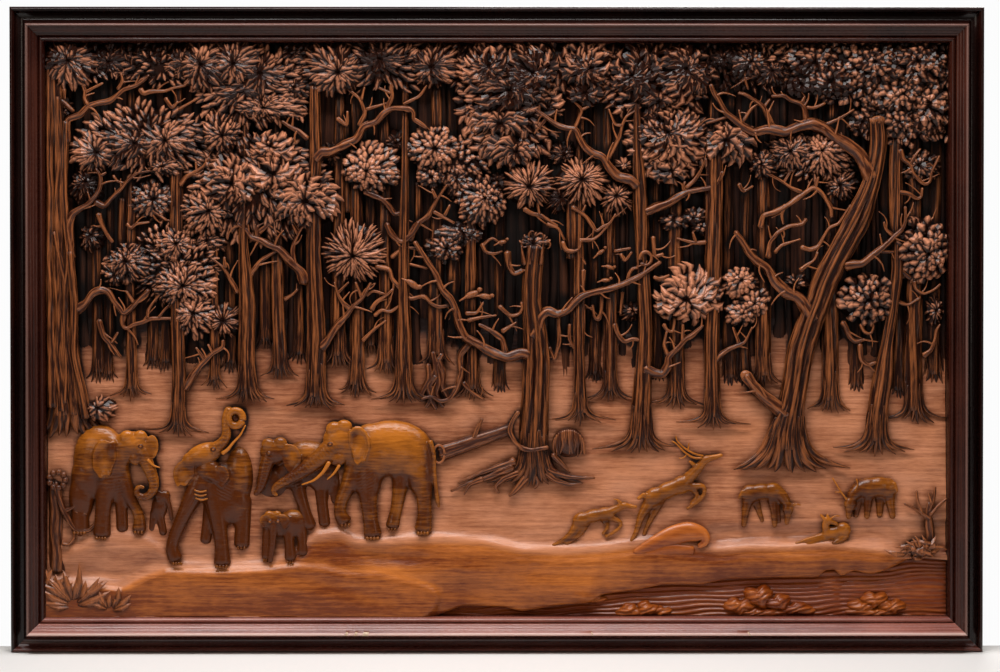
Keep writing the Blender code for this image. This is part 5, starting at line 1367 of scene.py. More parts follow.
calf = (
    (("ball", 158, 504, 9.5, 14, 0, 30, 14), ("ball", 163, 493, 6.5, 6.5, 0, 32, 9),
     ("limb", ((157, 508, 10, 27), (160, 520, 8.5, 28), (162, 531, 10, 30)), 0.85),
     ("limb", ((151, 508, 9, 24), (150, 528, 9, 26)), 0.85)),
    (("limb", ((165, 494, 6, 32), (169, 505, 4.6, 32), (170, 517, 3.4, 31)), 0.85),
     ("ear", ((154, 488), (159, 487), (161, 493), (158, 499), (154, 496)), 31, 4, 1)),
)
trunkB = ((208, 449, 15, 48), (216, 444, 12.5, 50), (223, 439, 10.5, 50), (227, 431, 9.5, 50), (225, 422, 8.8, 50),
          (225, 413, 8.8, 50), (229, 406, 9, 50))
elephantB = (
    (("ball", 237, 474, 15, 31, 0, 37, 22), ("ball", 234, 500, 15, 24, 0, 38, 20),
     ("ball", 219, 486, 20, 28, 0, 42, 22), ("ball", 201, 480, 15, 20, 0, 42, 20), ("ball", 222, 505, 13, 20, 0, 41, 18),
     ("limb", ((240, 496, 21, 33), (241, 520, 17, 35), (240, 543, 17, 38)), 0.75),
     ("limb", ((208, 500, 17, 28), (206, 520, 13, 30), (204, 539, 14, 33)), 0.75),
     ("limb", ((200, 474, 22, 42), (191, 494, 20, 44), (183, 511, 15.5, 45), (174, 531, 13.5, 45), (170, 545, 13, 46),
               (175, 556, 16, 48)), 0.85),
     ("limb", ((211, 480, 24, 43), (215, 505, 19, 45), (219, 528, 15.5, 46), (221, 546, 14.5, 47), (221, 560, 19, 49)),
      0.8)),
    (("ball", 207, 467, 13, 12, 10, 46, 15), ("ball", 203, 451, 20, 11, -20, 49, 15),
     ("ball", 190, 457, 9, 8, 0, 47, 12), ("limb", trunkB, 0.8),
     ("limb", ((206, 470, 13, 47), (212, 474, 9, 47), (217, 478, 4.5, 46)), 0.85),
     ("ear", ((188, 455), (194, 463), (194, 472), (189, 478), (185, 484), (180, 481), (177, 485), (173, 477),
              (172, 468), (177, 459)), 42, 5, 3),
     ("ear", ((217, 462), (225, 463), (229, 470), (228, 477), (224, 480), (222, 486), (216, 480), (214, 469)), 45, 5, 2.5)),
)
trunkC = ((268, 452, 15, 43), (264, 464, 14, 44), (262, 475, 11.5, 44), (259, 486, 8, 43), (254, 491, 5, 42))
elephantC = (
    (("ball", 305, 461, 28, 24, 0, 36, 22), ("ball", 319, 470, 17, 21, 0, 35, 20), ("ball", 290, 466, 17, 22, 0, 36, 20),
     ("limb", ((292, 468, 19, 32), (298, 492, 14, 35), (303, 508, 12, 36), (308, 524, 15, 38)), 0.85),
     ("limb", ((318, 468, 18, 28), (320, 500, 12.5, 31), (323, 522, 13, 33)), 0.85),
     ("limb", ((332, 470, 15, 24), (334, 500, 11, 27)), 0.85),
     ("limb", ((251, 490, 13, 20), (249, 512, 11, 23), (250, 534, 13, 26)), 0.85),
     ("limb", ((262, 488, 12, 19), (260, 532, 11, 24)), 0.85), ("ball", 270, 480, 18, 18, 0, 28, 14)),
    (("ball", 273, 449, 15, 13, 0, 44, 16), ("ball", 267, 441, 7, 6, 0, 44, 9), ("ball", 279, 440, 7, 6, 0, 44, 9),
     ("limb", trunkC, 0.85),
     ("ear", ((280, 443), (289, 440), (297, 444), (301, 454), (299, 462), (295, 465), (292, 472), (286, 468),
              (281, 458)), 42, 5, 3), ("ball", 285, 447, 4, 7, 0, 43, 6)),
)
trunkD = ((334, 441, 22, 49), (326, 449, 21, 50), (317, 456, 19, 50), (309, 462, 17, 50), (301, 468, 14.5, 50),
          (293, 473, 12, 50), (285, 477, 10, 50), (278, 481, 8.4, 50), (272, 485, 7, 49), (271, 490, 5.4, 49),
          (276, 492, 3.8, 49))
elephantD = (
    (("ball", 392, 446, 40, 29, 6, 47, 27), ("ball", 368, 452, 23, 32, 0, 47, 25), ("ball", 414, 454, 19, 30, -8, 46, 24),
     ("ball", 419, 472, 14, 24, 0, 45, 20), ("ball", 366, 478, 14, 22, 0, 46, 20),
     ("limb", ((417, 464, 28, 43), (421, 480, 21, 44), (422, 496, 16, 44), (423, 511, 15, 44), (421, 527, 19, 46)), 0.8),
     ("limb", ((366, 468, 28, 45), (366, 486, 21, 46), (367, 503, 17, 46), (369, 519, 15.5, 46), (371, 532, 20, 48)), 0.8),
     ("limb", ((352, 462, 20, 37), (348, 480, 18, 39), (339, 498, 14, 39), (337, 510, 12.5, 40), (343, 519, 17, 42)), 0.85),
     ("limb", ((399, 468, 21, 32), (397, 492, 15, 35), (394, 508, 12.5, 35), (390, 524, 15, 38)), 0.85),
     ("ball", 346, 442, 18, 19, 0, 47, 20)),
    (("ball", 338, 437, 17, 16, 0, 49, 18), ("ball", 332, 425, 8, 6.5, -20, 48.5, 10),
     ("ball", 343, 423, 8, 6.5, 10, 48.5, 10), ("ball", 336, 455, 9, 8, 0, 47, 10), ("limb", trunkD, 0.75),
     ("ear", ((348, 428), (354, 422), (362, 424), (368, 433), (369, 444), (366, 452), (364, 459), (359, 458),
              (356, 463), (352, 456), (351, 448), (347, 438)), 50.5, 6, 4.5),
     ("ball", 356, 449, 5, 8, 12, 51, 6), ("limb", ((348, 430, 3, 50), (353, 424, 3.4, 51.5), (361, 425, 3.4, 51.5),
                                                   (367, 433, 3, 51.5), (368, 444, 2.6, 51)), 0.9),
     ("limb", ((428, 438, 5.4, 43), (432, 450, 5, 42), (432, 468, 4.4, 40), (434, 486, 4, 39), (435, 496, 5.5, 39),
               (437, 504, 3, 38)), 0.9)),
)
trunkE = ((272, 520, 10, 47), (272, 532, 8, 48), (271, 544, 6.4, 48), (269, 558, 5.2, 47))
elephantE = (
    (("ball", 291, 520, 15.5, 14, 0, 43, 17), ("limb", ((299, 522, 13, 38), (301, 538, 10.5, 40), (301, 551, 12, 42)), 0.85),
     ("limb", ((286, 522, 13, 40), (288, 540, 10.5, 43), (289, 556, 12.5, 45)), 0.85),
     ("limb", ((266, 524, 11, 39), (265, 540, 10, 42), (265, 555, 11, 44)), 0.85), ("ball", 275, 524, 10, 12, 0, 42, 14)),
    (("ball", 272, 518, 10, 10.5, 0, 47, 12), ("ball", 268, 511, 4.6, 4, 0, 46, 6), ("ball", 276, 511, 4.6, 4, 0, 46, 6),
     ("limb", trunkE, 0.85),
     ("ear", ((260, 512), (265, 510), (267, 518), (264, 525), (260, 523), (258, 517)), 43, 4, 1.5),
     ("ear", ((279, 510), (286, 511), (290, 517), (287, 523), (283, 527), (279, 519)), 46.5, 4, 2)),
)
herd = (
    # name, parts, tone, creases down the trunk, creased patches of hide, patches painted lighter as highlight or darker
    # as shade
    ("calf", calf, 0.10, (), (), ()),
    ("elephantC", elephantC, 0.26, ((trunkC, 3.2, 0.9),), ((292, 480, 14, 16, 20, 3.0, 0.8),),
     ((310, 446, 20, 9, 0.45), (270, 443, 12, 7, 0.25), (255, 515, 16, 30, -0.3), (318, 492, 26, 14, -0.2),
      (291, 455, 5, 9, 0.35))),
    ("elephantA", elephantA, 0.40, ((trunkA, 3.4, 1.0),), ((118, 480, 14, 20, 10, 3.0, 0.9),),
     ((98, 432, 26, 12, 0.30), (134, 436, 13, 8, 0.35), (118, 512, 10, 26, -0.5), (93, 482, 12, 10, -0.2),
      (105, 464, 7, 9, 0.30), (78, 480, 8, 30, -0.15), (134, 512, 6, 14, 0.2), (112, 443, 6, 5, -0.4))),
    ("elephantB", elephantB, 0.34, ((trunkB, 3.4, 1.0),),
     ((222, 486, 12, 18, -30, 3.0, 0.9), (190, 500, 12, 16, 60, 3.0, 0.7)),
     ((203, 448, 18, 8, 0.40), (240, 468, 9, 22, 0.20), (221, 490, 13, 20, -0.15), (205, 520, 7, 24, -0.4),
      (183, 474, 7, 8, 0.30), (228, 420, 6, 16, 0.12))),
    ("elephantD", elephantD, 0.46, ((trunkD, 3.4, 1.1),), ((364, 476, 14, 20, 25, 3.0, 1.0),),
     ((395, 430, 30, 12, 0.45), (337, 430, 13, 9, 0.40), (366, 480, 15, 20, -0.25), (394, 478, 22, 7, -0.3),
      (300, 468, 22, 12, -0.15), (353, 431, 4, 5, -0.5), (358, 450, 6, 9, 0.35), (427, 462, 4, 24, -0.4),
      (342, 500, 8, 16, 0.20), (396, 508, 8, 14, 0.15))),
    ("elephantE", elephantE, 0.24, ((trunkE, 3.0, 0.7),), ((278, 530, 8, 8, 0, 2.6, 0.6),),
     ((292, 509, 12, 5, 0.35), (272, 511, 8, 5, 0.25))),
)
tusks = (
    (4.2, 1.4, 50, (222, 450), (228, 446), (232, 440), (240, 432), (245, 422)),
    (4.6, 1.4, 51, (328, 459), (322, 469), (313, 477), (301, 481)),
    (3.4, 1.2, 50, (338, 462), (333, 470), (326, 476)),
    (3.4, 1.2, 50, (148, 456), (153, 462), (160, 464)),
)
eyes = ((329, 441, 50), (141, 443, 50.5), (213, 446, 51), (268, 450, 44), (269, 518, 48), (277, 518, 48))
toes = ((371, 536, 17, 47, 4), (421, 531, 15, 45, 4), (390, 528, 11, 37, 3), (344, 523, 13, 41, 3),
        (101, 536, 14, 46, 4), (79, 531, 16, 39, 4), (138, 530, 12, 41, 3), (177, 561, 13, 47, 4),
        (221, 564, 16, 48, 4), (240, 546, 12, 37, 3), (289, 560, 9, 44, 3), (265, 558, 8, 43, 3))


def addHerd(carving):
    for name, (body, crisp), tone, creases, hatches, litAndShadedPatches in herd:
        addFigure(carving, name, body, crisp, tone=tone, wrinkles=creases, hatches=hatches, fineWrinkles=0.35,
                  litAndShadedPatches=litAndShadedPatches)
    for startWidth, endWidth, crown, *line in tusks:
        share = np.linspace(0, 1, len(line))
        stations = [(gx, gy, startWidth + (endWidth - startWidth) * part, crown - part)
                    for (gx, gy), part in zip(line, share)]
        addTube(carving, stations, tone=1.0, step=2, ring=10, depth=0.8)
    for gx, gy, crown in eyes:
        # each eye: a ring painted dark as the shade of its socket, and a lighter ball
        for size, lift, tone in ((3.0, 0.3, -0.6), (1.5, 1.2, 0.6)):
            points, quads, triangles = ballShape(gx, gy, size, size * 0.8, 0, crown + lift, 2.4, 6, 10)
            carving.add(points, quads, triangles, tone=tone)
    for gx, gy, width, crown, count in toes:
        for index in range(count):
            across = gx + width * 0.8 * ((index + 0.5) / count - 0.5)
            points, quads, triangles = ballShape(across, gy - 1.4, width * 0.11, 2.0, 0, crown + 1.2, 3, 6, 10)
            carving.add(points, quads, triangles, tone=0.30)
    nostril = [(235 + 7.2 * math.cos(turn), 415 + 7.6 * math.sin(turn), 7.4, 51)
               for turn in np.linspace(0.4, 2 * math.pi + 0.2, 18)]
    addTube(carving, nostril, tone=0.5, step=1.6, ring=12, depth=0.8, rounds=0)
    # painted shade: a dark ball where the nostril's hollow is
    points, quads, triangles = ballShape(235, 415, 6, 6, 0, 43, 6, 6, 12)
    carving.add(points, quads, triangles, tone=-0.8)
    for gx, gy in ((200, 488), (200, 492), (201, 496)):
        fold = ((gx - 6, gy - 1.5, 1.6, 45.5), (gx, gy + 0.8, 2.4, 46.5), (gx + 6, gy - 1, 1.6, 46))
        addTube(carving, fold, tone=0.6, step=1.5, ring=8, depth=0.8)


stag = (
    ("limb", ((661, 490, 14, 30), (653, 508, 8, 31), (646, 520, 5.6, 31), (641, 533, 4.6, 31)), 0.9),
    ("limb", ((651, 492, 17, 34), (645, 504, 13, 36), (638, 513, 8, 37), (636, 522, 6.6, 36), (633, 531, 5.2, 35),
              (627, 541, 4.4, 35)), 0.9),
    ("ball", 652, 494, 11.5, 9.5, -35, 41, 13), ("ball", 664, 488, 13, 8.6, -24, 41, 13),
    ("ball", 679, 482, 11.5, 9.4, -22, 42, 14), ("ball", 671, 485, 14, 8.2, -24, 41, 13),
    ("limb", ((678, 483, 14, 36), (689, 472, 12, 40), (696, 464.5, 9.4, 41), (701, 458, 8.4, 41)), 0.9),
    ("ball", 703, 456.5, 6, 4.2, -18, 43, 7), ("limb", ((704, 456, 7, 41), (712, 454, 5.6, 41), (719, 452, 4.4, 41)), 0.95),
    ("limb", ((682, 485, 10, 35), (692, 483, 7, 38), (701, 481.5, 5.6, 38), (703.5, 488, 4.6, 38), (697, 498, 4.2, 37),
              (684, 506, 3.8, 36)), 0.95),
    ("limb", ((680, 483, 9, 31), (692, 487, 6, 33), (697, 492, 4.6, 34), (688, 501, 3.8, 33)), 0.95),
    ("limb", ((691, 461.5, 5, 41), (686, 458, 3, 40)), 0.95), ("limb", ((642, 491, 5, 38), (635, 496, 4, 36)), 0.95),
)
hind = (
    ("ball", 579, 517, 9.5, 8, -18, 39, 12), ("ball", 591, 513, 12, 7, -12, 39, 12), ("ball", 602, 511, 9, 7, -12, 39, 12),
    ("limb", ((578, 516, 14, 33), (572, 527, 8.6, 35), (565, 535, 5.6, 34), (550, 543, 4.2, 33)), 0.95),
    ("limb", ((584, 518, 12, 30), (578, 531, 7, 32), (563, 542, 4.4, 31)), 0.95),
    ("limb", ((603, 511, 11, 35), (612, 506.5, 8.4, 38), (619, 503.5, 7, 38)), 0.95),
    ("ball", 622, 502.5, 5, 3.6, 0, 40, 6), ("limb", ((623, 502.5, 6, 38), (629, 503.5, 5, 38), (634, 504, 3.8, 38)), 0.95),
    ("limb", ((604, 513, 9, 32), (614, 517, 5.6, 36), (621, 519.5, 4.6, 36), (617, 526, 4, 35), (603, 534, 3.6, 34)), 0.95),
    ("limb", ((600, 516, 8, 29), (608, 524, 4.4, 33), (600, 531, 3.6, 32)), 0.95),
    ("limb", ((618, 501, 4, 39), (614, 496, 3, 38)), 0.95),
)
grazingDoe = (
    ("ball", 748, 491, 10.5, 9.5, 0, 39, 13), ("ball", 759, 489, 13, 8.6, 0, 39, 13), ("ball", 770, 489, 10, 9.5, 0, 39, 13),
    ("limb", ((747, 493, 15, 32), (743, 506, 8.6, 34), (741, 524, 5.2, 34)), 0.95),
    ("limb", ((752, 494, 11, 27), (757, 510, 6, 29), (760, 519, 4.6, 29)), 0.95),
    ("limb", ((769, 492, 13, 32), (771, 507, 7, 34), (772, 524, 5.2, 34)), 0.95),
    ("limb", ((774, 492, 10, 28), (775, 508, 5.6, 30), (777, 520, 4.6, 30)), 0.95),
    ("limb", ((771, 487, 16, 36), (779, 492, 13, 39), (784, 500, 10, 39)), 0.95),
    ("ball", 785, 506, 5.6, 7.4, 0, 41, 8), ("limb", ((785, 507, 8, 39), (784.5, 514, 6.4, 39), (783.5, 521, 4.8, 39)), 0.95),
    ("limb", ((788, 503, 4.4, 39), (793, 500, 3, 38)), 0.95), ("limb", ((740, 488, 4.4, 36), (736, 496, 3.6, 35)), 0.95),
)
grazingBuck = (
    ("ball", 866, 486, 11, 11.5, 0, 40, 15), ("ball", 876, 484, 13, 10.6, 0, 40, 15), ("ball", 885, 486, 9.6, 11, 0, 39, 14),
    ("limb", ((858, 492, 11, 28), (855, 504, 7, 31), (853, 514, 6, 31)), 0.95),
    ("limb", ((866, 492, 12, 31), (865, 505, 7.4, 34), (864, 515, 6, 34)), 0.95),
    ("limb", ((878, 492, 12, 28), (877, 514, 6, 31)), 0.95), ("limb", ((887, 490, 14, 32), (888, 504, 8, 35),
                                                                    (890, 515, 6.4, 35)), 0.95),
    ("limb", ((862, 484, 19, 37), (854, 488, 15, 39), (848, 495, 12, 39)), 0.95), ("ball", 847, 501, 6.4, 7, 0, 41, 9),
    ("limb", ((847, 501, 10, 39), (846, 508, 7.6, 39), (845.5, 515, 5.8, 39)), 0.95),
    ("limb", ((891, 480, 4.4, 37), (894, 489, 3.6, 36)), 0.95),
)
fawn = (
    ("ball", 830, 530, 11, 6.8, -14, 40, 11), ("ball", 840, 527, 8.4, 7.8, -10, 41, 12),
    ("limb", ((824, 532, 7, 32), (806, 536, 4.6, 35), (792, 541, 4, 34)), 0.95),
    ("limb", ((826, 535, 7, 34), (808, 540.5, 4.6, 36), (794, 546, 4, 35)), 0.95),
    ("limb", ((843, 531, 9, 38), (838, 538, 5.8, 39), (829, 540.5, 4.4, 38)), 0.95),
    ("limb", ((824, 528, 9, 37), (821.5, 523, 7.6, 40), (822.5, 518.5, 6.8, 40)), 0.95),
    ("ball", 825, 517.5, 5, 4, 8, 42, 6), ("limb", ((826, 518, 6, 40), (830, 519.5, 5, 40), (834, 521, 4, 40)), 0.95),
    ("limb", ((821, 516, 4, 40), (817, 511, 3, 39)), 0.95), ("limb", ((824.5, 515, 3.6, 41), (824, 510.5, 2.8, 40)), 0.95),
)
antlers = (
    (2.6, 1.4, 41, (699, 455), (690, 455), (681, 449), (673, 440), (669, 438)),
    (2.6, 1.4, 40, (700, 453), (691, 451), (681, 445), (673, 437), (673, 433)),
    (1.8, 1.2, 40, (684, 451), (680, 456), (676, 455)), (1.8, 1.2, 39, (685, 447), (686, 440)),
    (2.4, 1.4, 38, (844, 497), (838, 490), (833, 481), (829, 475)), (2.4, 1.4, 38, (850, 491), (855, 482), (853, 476)),
    (1.8, 1.2, 38, (837, 489), (832, 489)), (2.2, 1.4, 38, (788, 504), (793, 500), (797, 502)),
    (2.2, 1.4, 38, (619, 500), (615, 496), (611, 496)), (1.8, 1.2, 40, (826, 517), (831, 512), (836, 513)),
)


def addDeer(carving):
    for name, parts, tone in (("stag", stag, 0.55), ("hind", hind, 0.5), ("doe", grazingDoe, 0.42),
                              ("buck", grazingBuck, 0.42), ("fawn", fawn, 0.6)):
        addFigure(carving, name, parts, (), voxel=0.0012, soft=18, smooth=3, sunk=17, keep=0.30, tone=tone, fade=0.25)
    for startWidth, endWidth, crown, *line in antlers:
        share = np.linspace(0, 1, len(line))
        stations = [(gx, gy, startWidth + (endWidth - startWidth) * part, crown) for (gx, gy), part in
                    zip(line, share)]
        addTube(carving, stations, tone=0.5, step=2, ring=7, depth=0.9)


# low things on the ground: logs, stumps, burl, rocks, plants
def addOddments(carving):
    log = ((437, 451, 18, 36), (455, 445, 16, 35), (472, 439, 15, 34), (490, 433, 14, 33), (510, 426, 13, 31))
    addTube(carving, log, tone=0.5, step=2.5, ring=26, depth=0.7, flutes=((5, 0.14, 40), (17, 0.08, 30)), seed=5,
            ends=-0.5)
    addTube(carving, ((472, 436, 7, 33), (475, 427, 5, 32), (480, 416, 3, 30)), tone=0.55, step=2, ring=10,
            flutes=((5, 0.15, 10),), seed=6)
    rim = [(437 + 5.5 * math.cos(turn), 451 + 9 * math.sin(turn), 2.6, 37)
           for turn in np.linspace(0.2, 2 * math.pi, 20)]
    addTube(carving, rim, tone=0.7, step=1.6, ring=8, depth=0.9, rounds=0)
    for index, (startWidth, line) in enumerate((
            (12, ((510, 464), (496, 470), (480, 476), (464, 481), (449, 488))),
            (9, ((512, 458), (498, 463), (484, 468), (470, 474), (456, 480))),
            (8, ((516, 470), (500, 476), (492, 484), (497, 490))),
            (7, ((480, 476), (466, 482), (462, 492))),
            (12, ((524, 474), (518, 482), (512, 489), (507, 493))),
            (10, ((540, 462), (552, 470), (566, 474), (580, 475), (592, 475))),
            (8, ((544, 470), (554, 478), (568, 482), (580, 480))),
            (8, ((532, 472), (536, 480), (532, 486))),
            (7, ((550, 452), (560, 462), (568, 470))))):
        share = np.linspace(0, 1, len(line))
        stations = [(gx, gy, startWidth * (1 - 0.75 * part), 42 - 9 * part) for (gx, gy), part in zip(line, share)]
        addTube(carving, stations, tone=0.55, step=2, ring=14, depth=0.9, flutes=((7, 0.2, 12), (15, 0.1, 8)),
                seed=700 + index)
    # the burl beside the great tree: a round knot with hanging ribs of bark
    points, quads, triangles = ballShape(566, 440, 16, 15, 10, 37, 20, 16, 30)
    carving.add(points, quads, triangles, tone=0.30)
    draw = np.random.default_rng(9)
    for index in range(15):
        share = -1 + 2 * index / 14
        gx = 566 + 15 * share
        top = 440 - 13 * math.sqrt(1 - 0.85 * share ** 2)
        line = ((gx * 0.9 + 56.6, top, 2, 36), (gx, top + 7, 3.6, 40 - 6 * share ** 2),
                (gx + 1.5 * math.sin(index * 2), top + 13, 3.2, 39 - 6 * share ** 2),
                (gx + draw.uniform(-2, 2), top + 17 + draw.uniform(0, 7), 1.4, 33))
        addTube(carving, line, tone=0.05 + 0.45 * draw.random(), step=2, ring=8, depth=1.0, seed=800 + index)
    # the gnarled stump in the middle wood
    for index, line in enumerate((((431, 350), (434, 366), (428, 380), (431, 394), (424, 404)),
                                  ((440, 352), (433, 364), (437, 380), (433, 392), (441, 404)),
                                  ((436, 356), (441, 370), (440, 384), (446, 396)),
                                  ((426, 362), (428, 376), (421, 388), (418, 398)),
                                  ((434, 374), (426, 384), (430, 398), (434, 406)))):
        share = np.linspace(0, 1, len(line))
        stations = [(gx, gy, 8 - 5 * abs(part - 0.4), 31 - 4 * part) for (gx, gy), part in zip(line, share)]
        addTube(carving, stations, tone=0.42, step=2.2, ring=12, depth=0.9, flutes=((5, 0.24, 9),), seed=820 + index)
    # the hollow stump at the left edge
    stump = ((53, 480, 14, 34), (55, 505, 15, 34), (54, 540, 14, 35), (56, 568, 18, 36))
    addTube(carving, stump, tone=0.45, step=3, ring=26, depth=0.8, flutes=((7, 0.18, 14), (19, 0.08, 9)), seed=12)
    for index in range(9):
        turn = index * 2 * math.pi / 9
        points, quads, triangles = ballShape(57 + 8 * math.cos(turn), 477 + 8 * math.sin(turn), 3.4, 3.4, 0, 41, 6, 7, 12)
        carving.add(points, quads, triangles, tone=0.35)
    # curled twigs and torn wood where the great tree is broken off
    for gx, gy, size, start, sweep in ((522, 241, 4.4, 0.3, 4.0), (530, 233, 4.0, 2.6, 3.0), (538, 236, 4.6, 3.6, 3.8),
                                       (545, 243, 3.6, 4.6, 3.4)):
        curl = [(gx + size * (1 - 0.05 * part) * math.cos(start + sweep * part / 9),
                 gy + size * math.sin(start + sweep * part / 9), 2.6 - 0.2 * part, 41) for part in range(10)]
        addTube(carving, curl, tone=0.25, step=1.6, ring=7, depth=0.9, rounds=0)
    for gx, gy, tall, lean in ((522, 262, 18, -3), (527, 262, 24, -1), (533, 262, 20, 1), (538, 262, 22, 3),
                               (530, 258, 14, 0)):
        splinter = ((gx, gy, 5, 45), (gx + lean * 0.5, gy - tall * 0.5, 3.6, 44), (gx + lean, gy - tall, 1.0, 41))
        addTube(carving, splinter, tone=0.4, step=2, ring=9, depth=0.9, flutes=((3, 0.2, 9),))
    # the pale cut tops of the leaning tree and of the stub beside it
    for gx, gy, reachX, reachY, turn, crown in ((873, 119, 7.5, 4.6, -8, 47), (743, 373, 6, 5.4, 30, 37.5)):
        points, quads, triangles = ballShape(gx, gy, reachX, reachY, turn, crown, 6, 8, 18)
        carving.add(points, quads, triangles, tone=0.85)
    # birds in the branches
    for gx, gy, size, turn in ((470, 292, 8, -20), (483, 294, 7, 10), (411, 282, 8, 35), (598, 250, 5, -30),
                               (607, 265, 5, 20), (500, 240, 5, -10), (603, 278, 5, 0)):
        points, quads, triangles = ballShape(gx, gy, size, size * 0.42, turn, 42, 6, 7, 12)
        carving.add(points, quads, triangles, tone=0.6)
        slope = math.radians(turn)
        head = (gx + size * math.cos(slope), gy + size * math.sin(slope) - 2)
        points, quads, triangles = ballShape(*head, size * 0.34, size * 0.3, 0, 43, 4, 7, 12)
        carving.add(points, quads, triangles, tone=0.65)
        tail = ((gx - size * 0.6 * math.cos(slope), gy - size * 0.6 * math.sin(slope), size * 0.4, 41),
                (gx - size * 1.7 * math.cos(slope), gy - size * 1.7 * math.sin(slope) + 2, 1.4, 38))
        addTube(carving, tail, tone=0.5, step=2, ring=8, depth=0.8)


def addRock(carving, gx, gy, reachX, reachY, crown, seed, tone=0.5):
    points, quads, triangles = ballShape(gx, gy, reachX, reachY, 0, crown, crown - 14, 22, 44)
    angle = np.arctan2(points[:, 1] - gy, points[:, 0] - gx)
    slant = (points[:, 0] - gx) * 0.55 + (points[:, 1] - gy) * 1.6
    ledge = np.abs(np.sin(slant * 0.38 + 1.5 * waves(points[:, 0], points[:, 1], 22, seed)))
    lump = 1 + 0.16 * np.sin(3 * angle + seed) + 0.10 * np.sin(5 * angle + seed * 2)
    points[:, 0] = gx + (points[:, 0] - gx) * lump
    points[:, 1] = gy + (points[:, 1] - gy) * lump
    points[:, 2] -= 4.5 * (1 - ledge) * np.clip((points[:, 2] - 20) / 10, 0, 1)
    carving.add(points, quads, triangles, tone=tone)


rocks = ((627, 608, 14, 8, 34), (644, 606, 12, 8, 36), (660, 609, 10, 6, 33), (738, 604, 18, 9, 38),
         (757, 594, 15, 12, 43), (776, 600, 16, 9, 39), (796, 606, 20, 7, 36), (757, 610, 30, 6, 37),
         (858, 604, 16, 7, 36), (872, 597, 15, 8, 40), (890, 604, 16, 8, 38), (874, 610, 30, 5, 36))


def addPlants(carving):
    draw = np.random.default_rng(31)
    for centre, count, spread, reach, rise, seed in (
            ((74, 602), 17, (math.pi, 2 * math.pi), 42, 46, 1), ((112, 606), 8, (1.1 * math.pi, 1.9 * math.pi), 24, 48, 2),
            ((52, 590), 6, (1.3 * math.pi, 1.8 * math.pi), 26, 44, 3)):
        angle = np.linspace(*spread, count) + draw.uniform(-0.12, 0.12, count)
        length = reach * draw.uniform(0.65, 1.1, count)
        bases = np.stack((np.full(count, centre[0]) + draw.uniform(-3, 3, count), np.full(count, centre[1]),
                          np.full(count, rise - 7.0)), axis=1)
        tips = np.stack((centre[0] + length * np.cos(angle), centre[1] + length * 0.95 * np.sin(angle),
                         np.full(count, rise - 0.5)), axis=1)
        addBlades(carving, bases, tips, np.full(count, 6.4), np.full(count, 0.10), draw.uniform(-0.12, 0.12, count),
                  np.full(count, 0.3), draw.uniform(0.4, 0.75, count))
    angle = np.linspace(0.95 * math.pi, 2.1 * math.pi, 26) + draw.uniform(-0.1, 0.1, 26)
    length = 25 * draw.uniform(0.5, 1.15, 26)
    bases = np.stack((914 + draw.uniform(-12, 12, 26), np.full(26, 550.0), np.full(26, 33.0)), axis=1)
    tips = np.stack((bases[:, 0] + length * np.cos(angle), 552 + length * 0.75 * np.sin(angle),
                     draw.uniform(38, 44, 26)), axis=1)
    addBlades(carving, bases, tips, np.full(26, 5.4), np.full(26, 0.3), draw.uniform(-0.4, 0.4, 26), np.full(26, 0.3),
              draw.uniform(0.35, 0.7, 26))


def trimToOpening(carving, inset=0.35):
    # nothing may stand over the frame's lip or in front of the full depth
    for points in carving.points:
        points[:, 0] = np.clip(points[:, 0], layout["firstColumn"] + inset, lastColumn - inset)
        points[:, 1] = np.clip(points[:, 1], layout["firstRow"] + inset, lastRow - inset)
        points[:, 2] = np.clip(points[:, 2], -24, layout["fullRise"] + 3)


floorCarving = Carving()
addFloor(floorCarving)
trimToOpening(floorCarving)
finishPiece("forest_floor", floorCarving, finishes["forestFloor"])

streamCarving = Carving()
addStream(streamCarving)
for number, (gx, gy, reachX, reachY, crown) in enumerate(rocks):
    addRock(streamCarving, gx, gy, reachX, reachY, crown, number)
addRock(streamCarving, 588, 596, 15, 5, 34, 20)
boulder = ((632, 549, 6, 40), (650, 541, 15, 44), (668, 533, 20, 46), (686, 528, 21, 47), (700, 531, 15, 46),
           (704, 538, 9, 44), (696, 543, 5, 42))
addTube(streamCarving, boulder, tone=0.42, step=3, ring=26, depth=0.55, seed=33, flutes=((3, 0.06, 30),))
addTube(streamCarving, ((640, 552, 8, 39), (664, 545, 14, 43), (690, 547, 9, 41)), tone=0.42, step=3, ring=20,
        depth=0.6, seed=34)
trimToOpening(streamCarving)
finishPiece("stream_and_rocks", streamCarving, finishes["bank"])

backCarving = Carving()
addBackWood(backCarving)
trimToOpening(backCarving)
finishPiece("shaded_wood_far_back", backCarving, finishes["shade"])

for name, kinds in (("tree_trunks", ("great", "front")), ("tree_trunks_behind", ("middle", "back"))):
    trunkCarving = Carving()
    for number, (kind, line, spread) in enumerate(trees):
        if kind in kinds:
            addTree(trunkCarving, kind, line, spread, 20 + number)
    for number, line in enumerate(leftStems if "front" in kinds else ()):
        stations = [(gx, gy, width, 41 - 1.5 * (number % 3)) for gx, gy, width in line]
        addTube(trunkCarving, stations, step=4, ring=18, depth=0.9, flutes=((5, 0.2, 30), (9, 0.12, 18)),
                seed=90 + number, ends=0.3, tone=0.45)
    trimToOpening(trunkCarving)
    finishPiece(name, trunkCarving, finishes["bark"])

branchCarving = Carving()
addBranches(branchCarving)
addOddments(branchCarving)
trimToOpening(branchCarving)
finishPiece("branches_roots_and_logs", branchCarving, finishes["branch"])

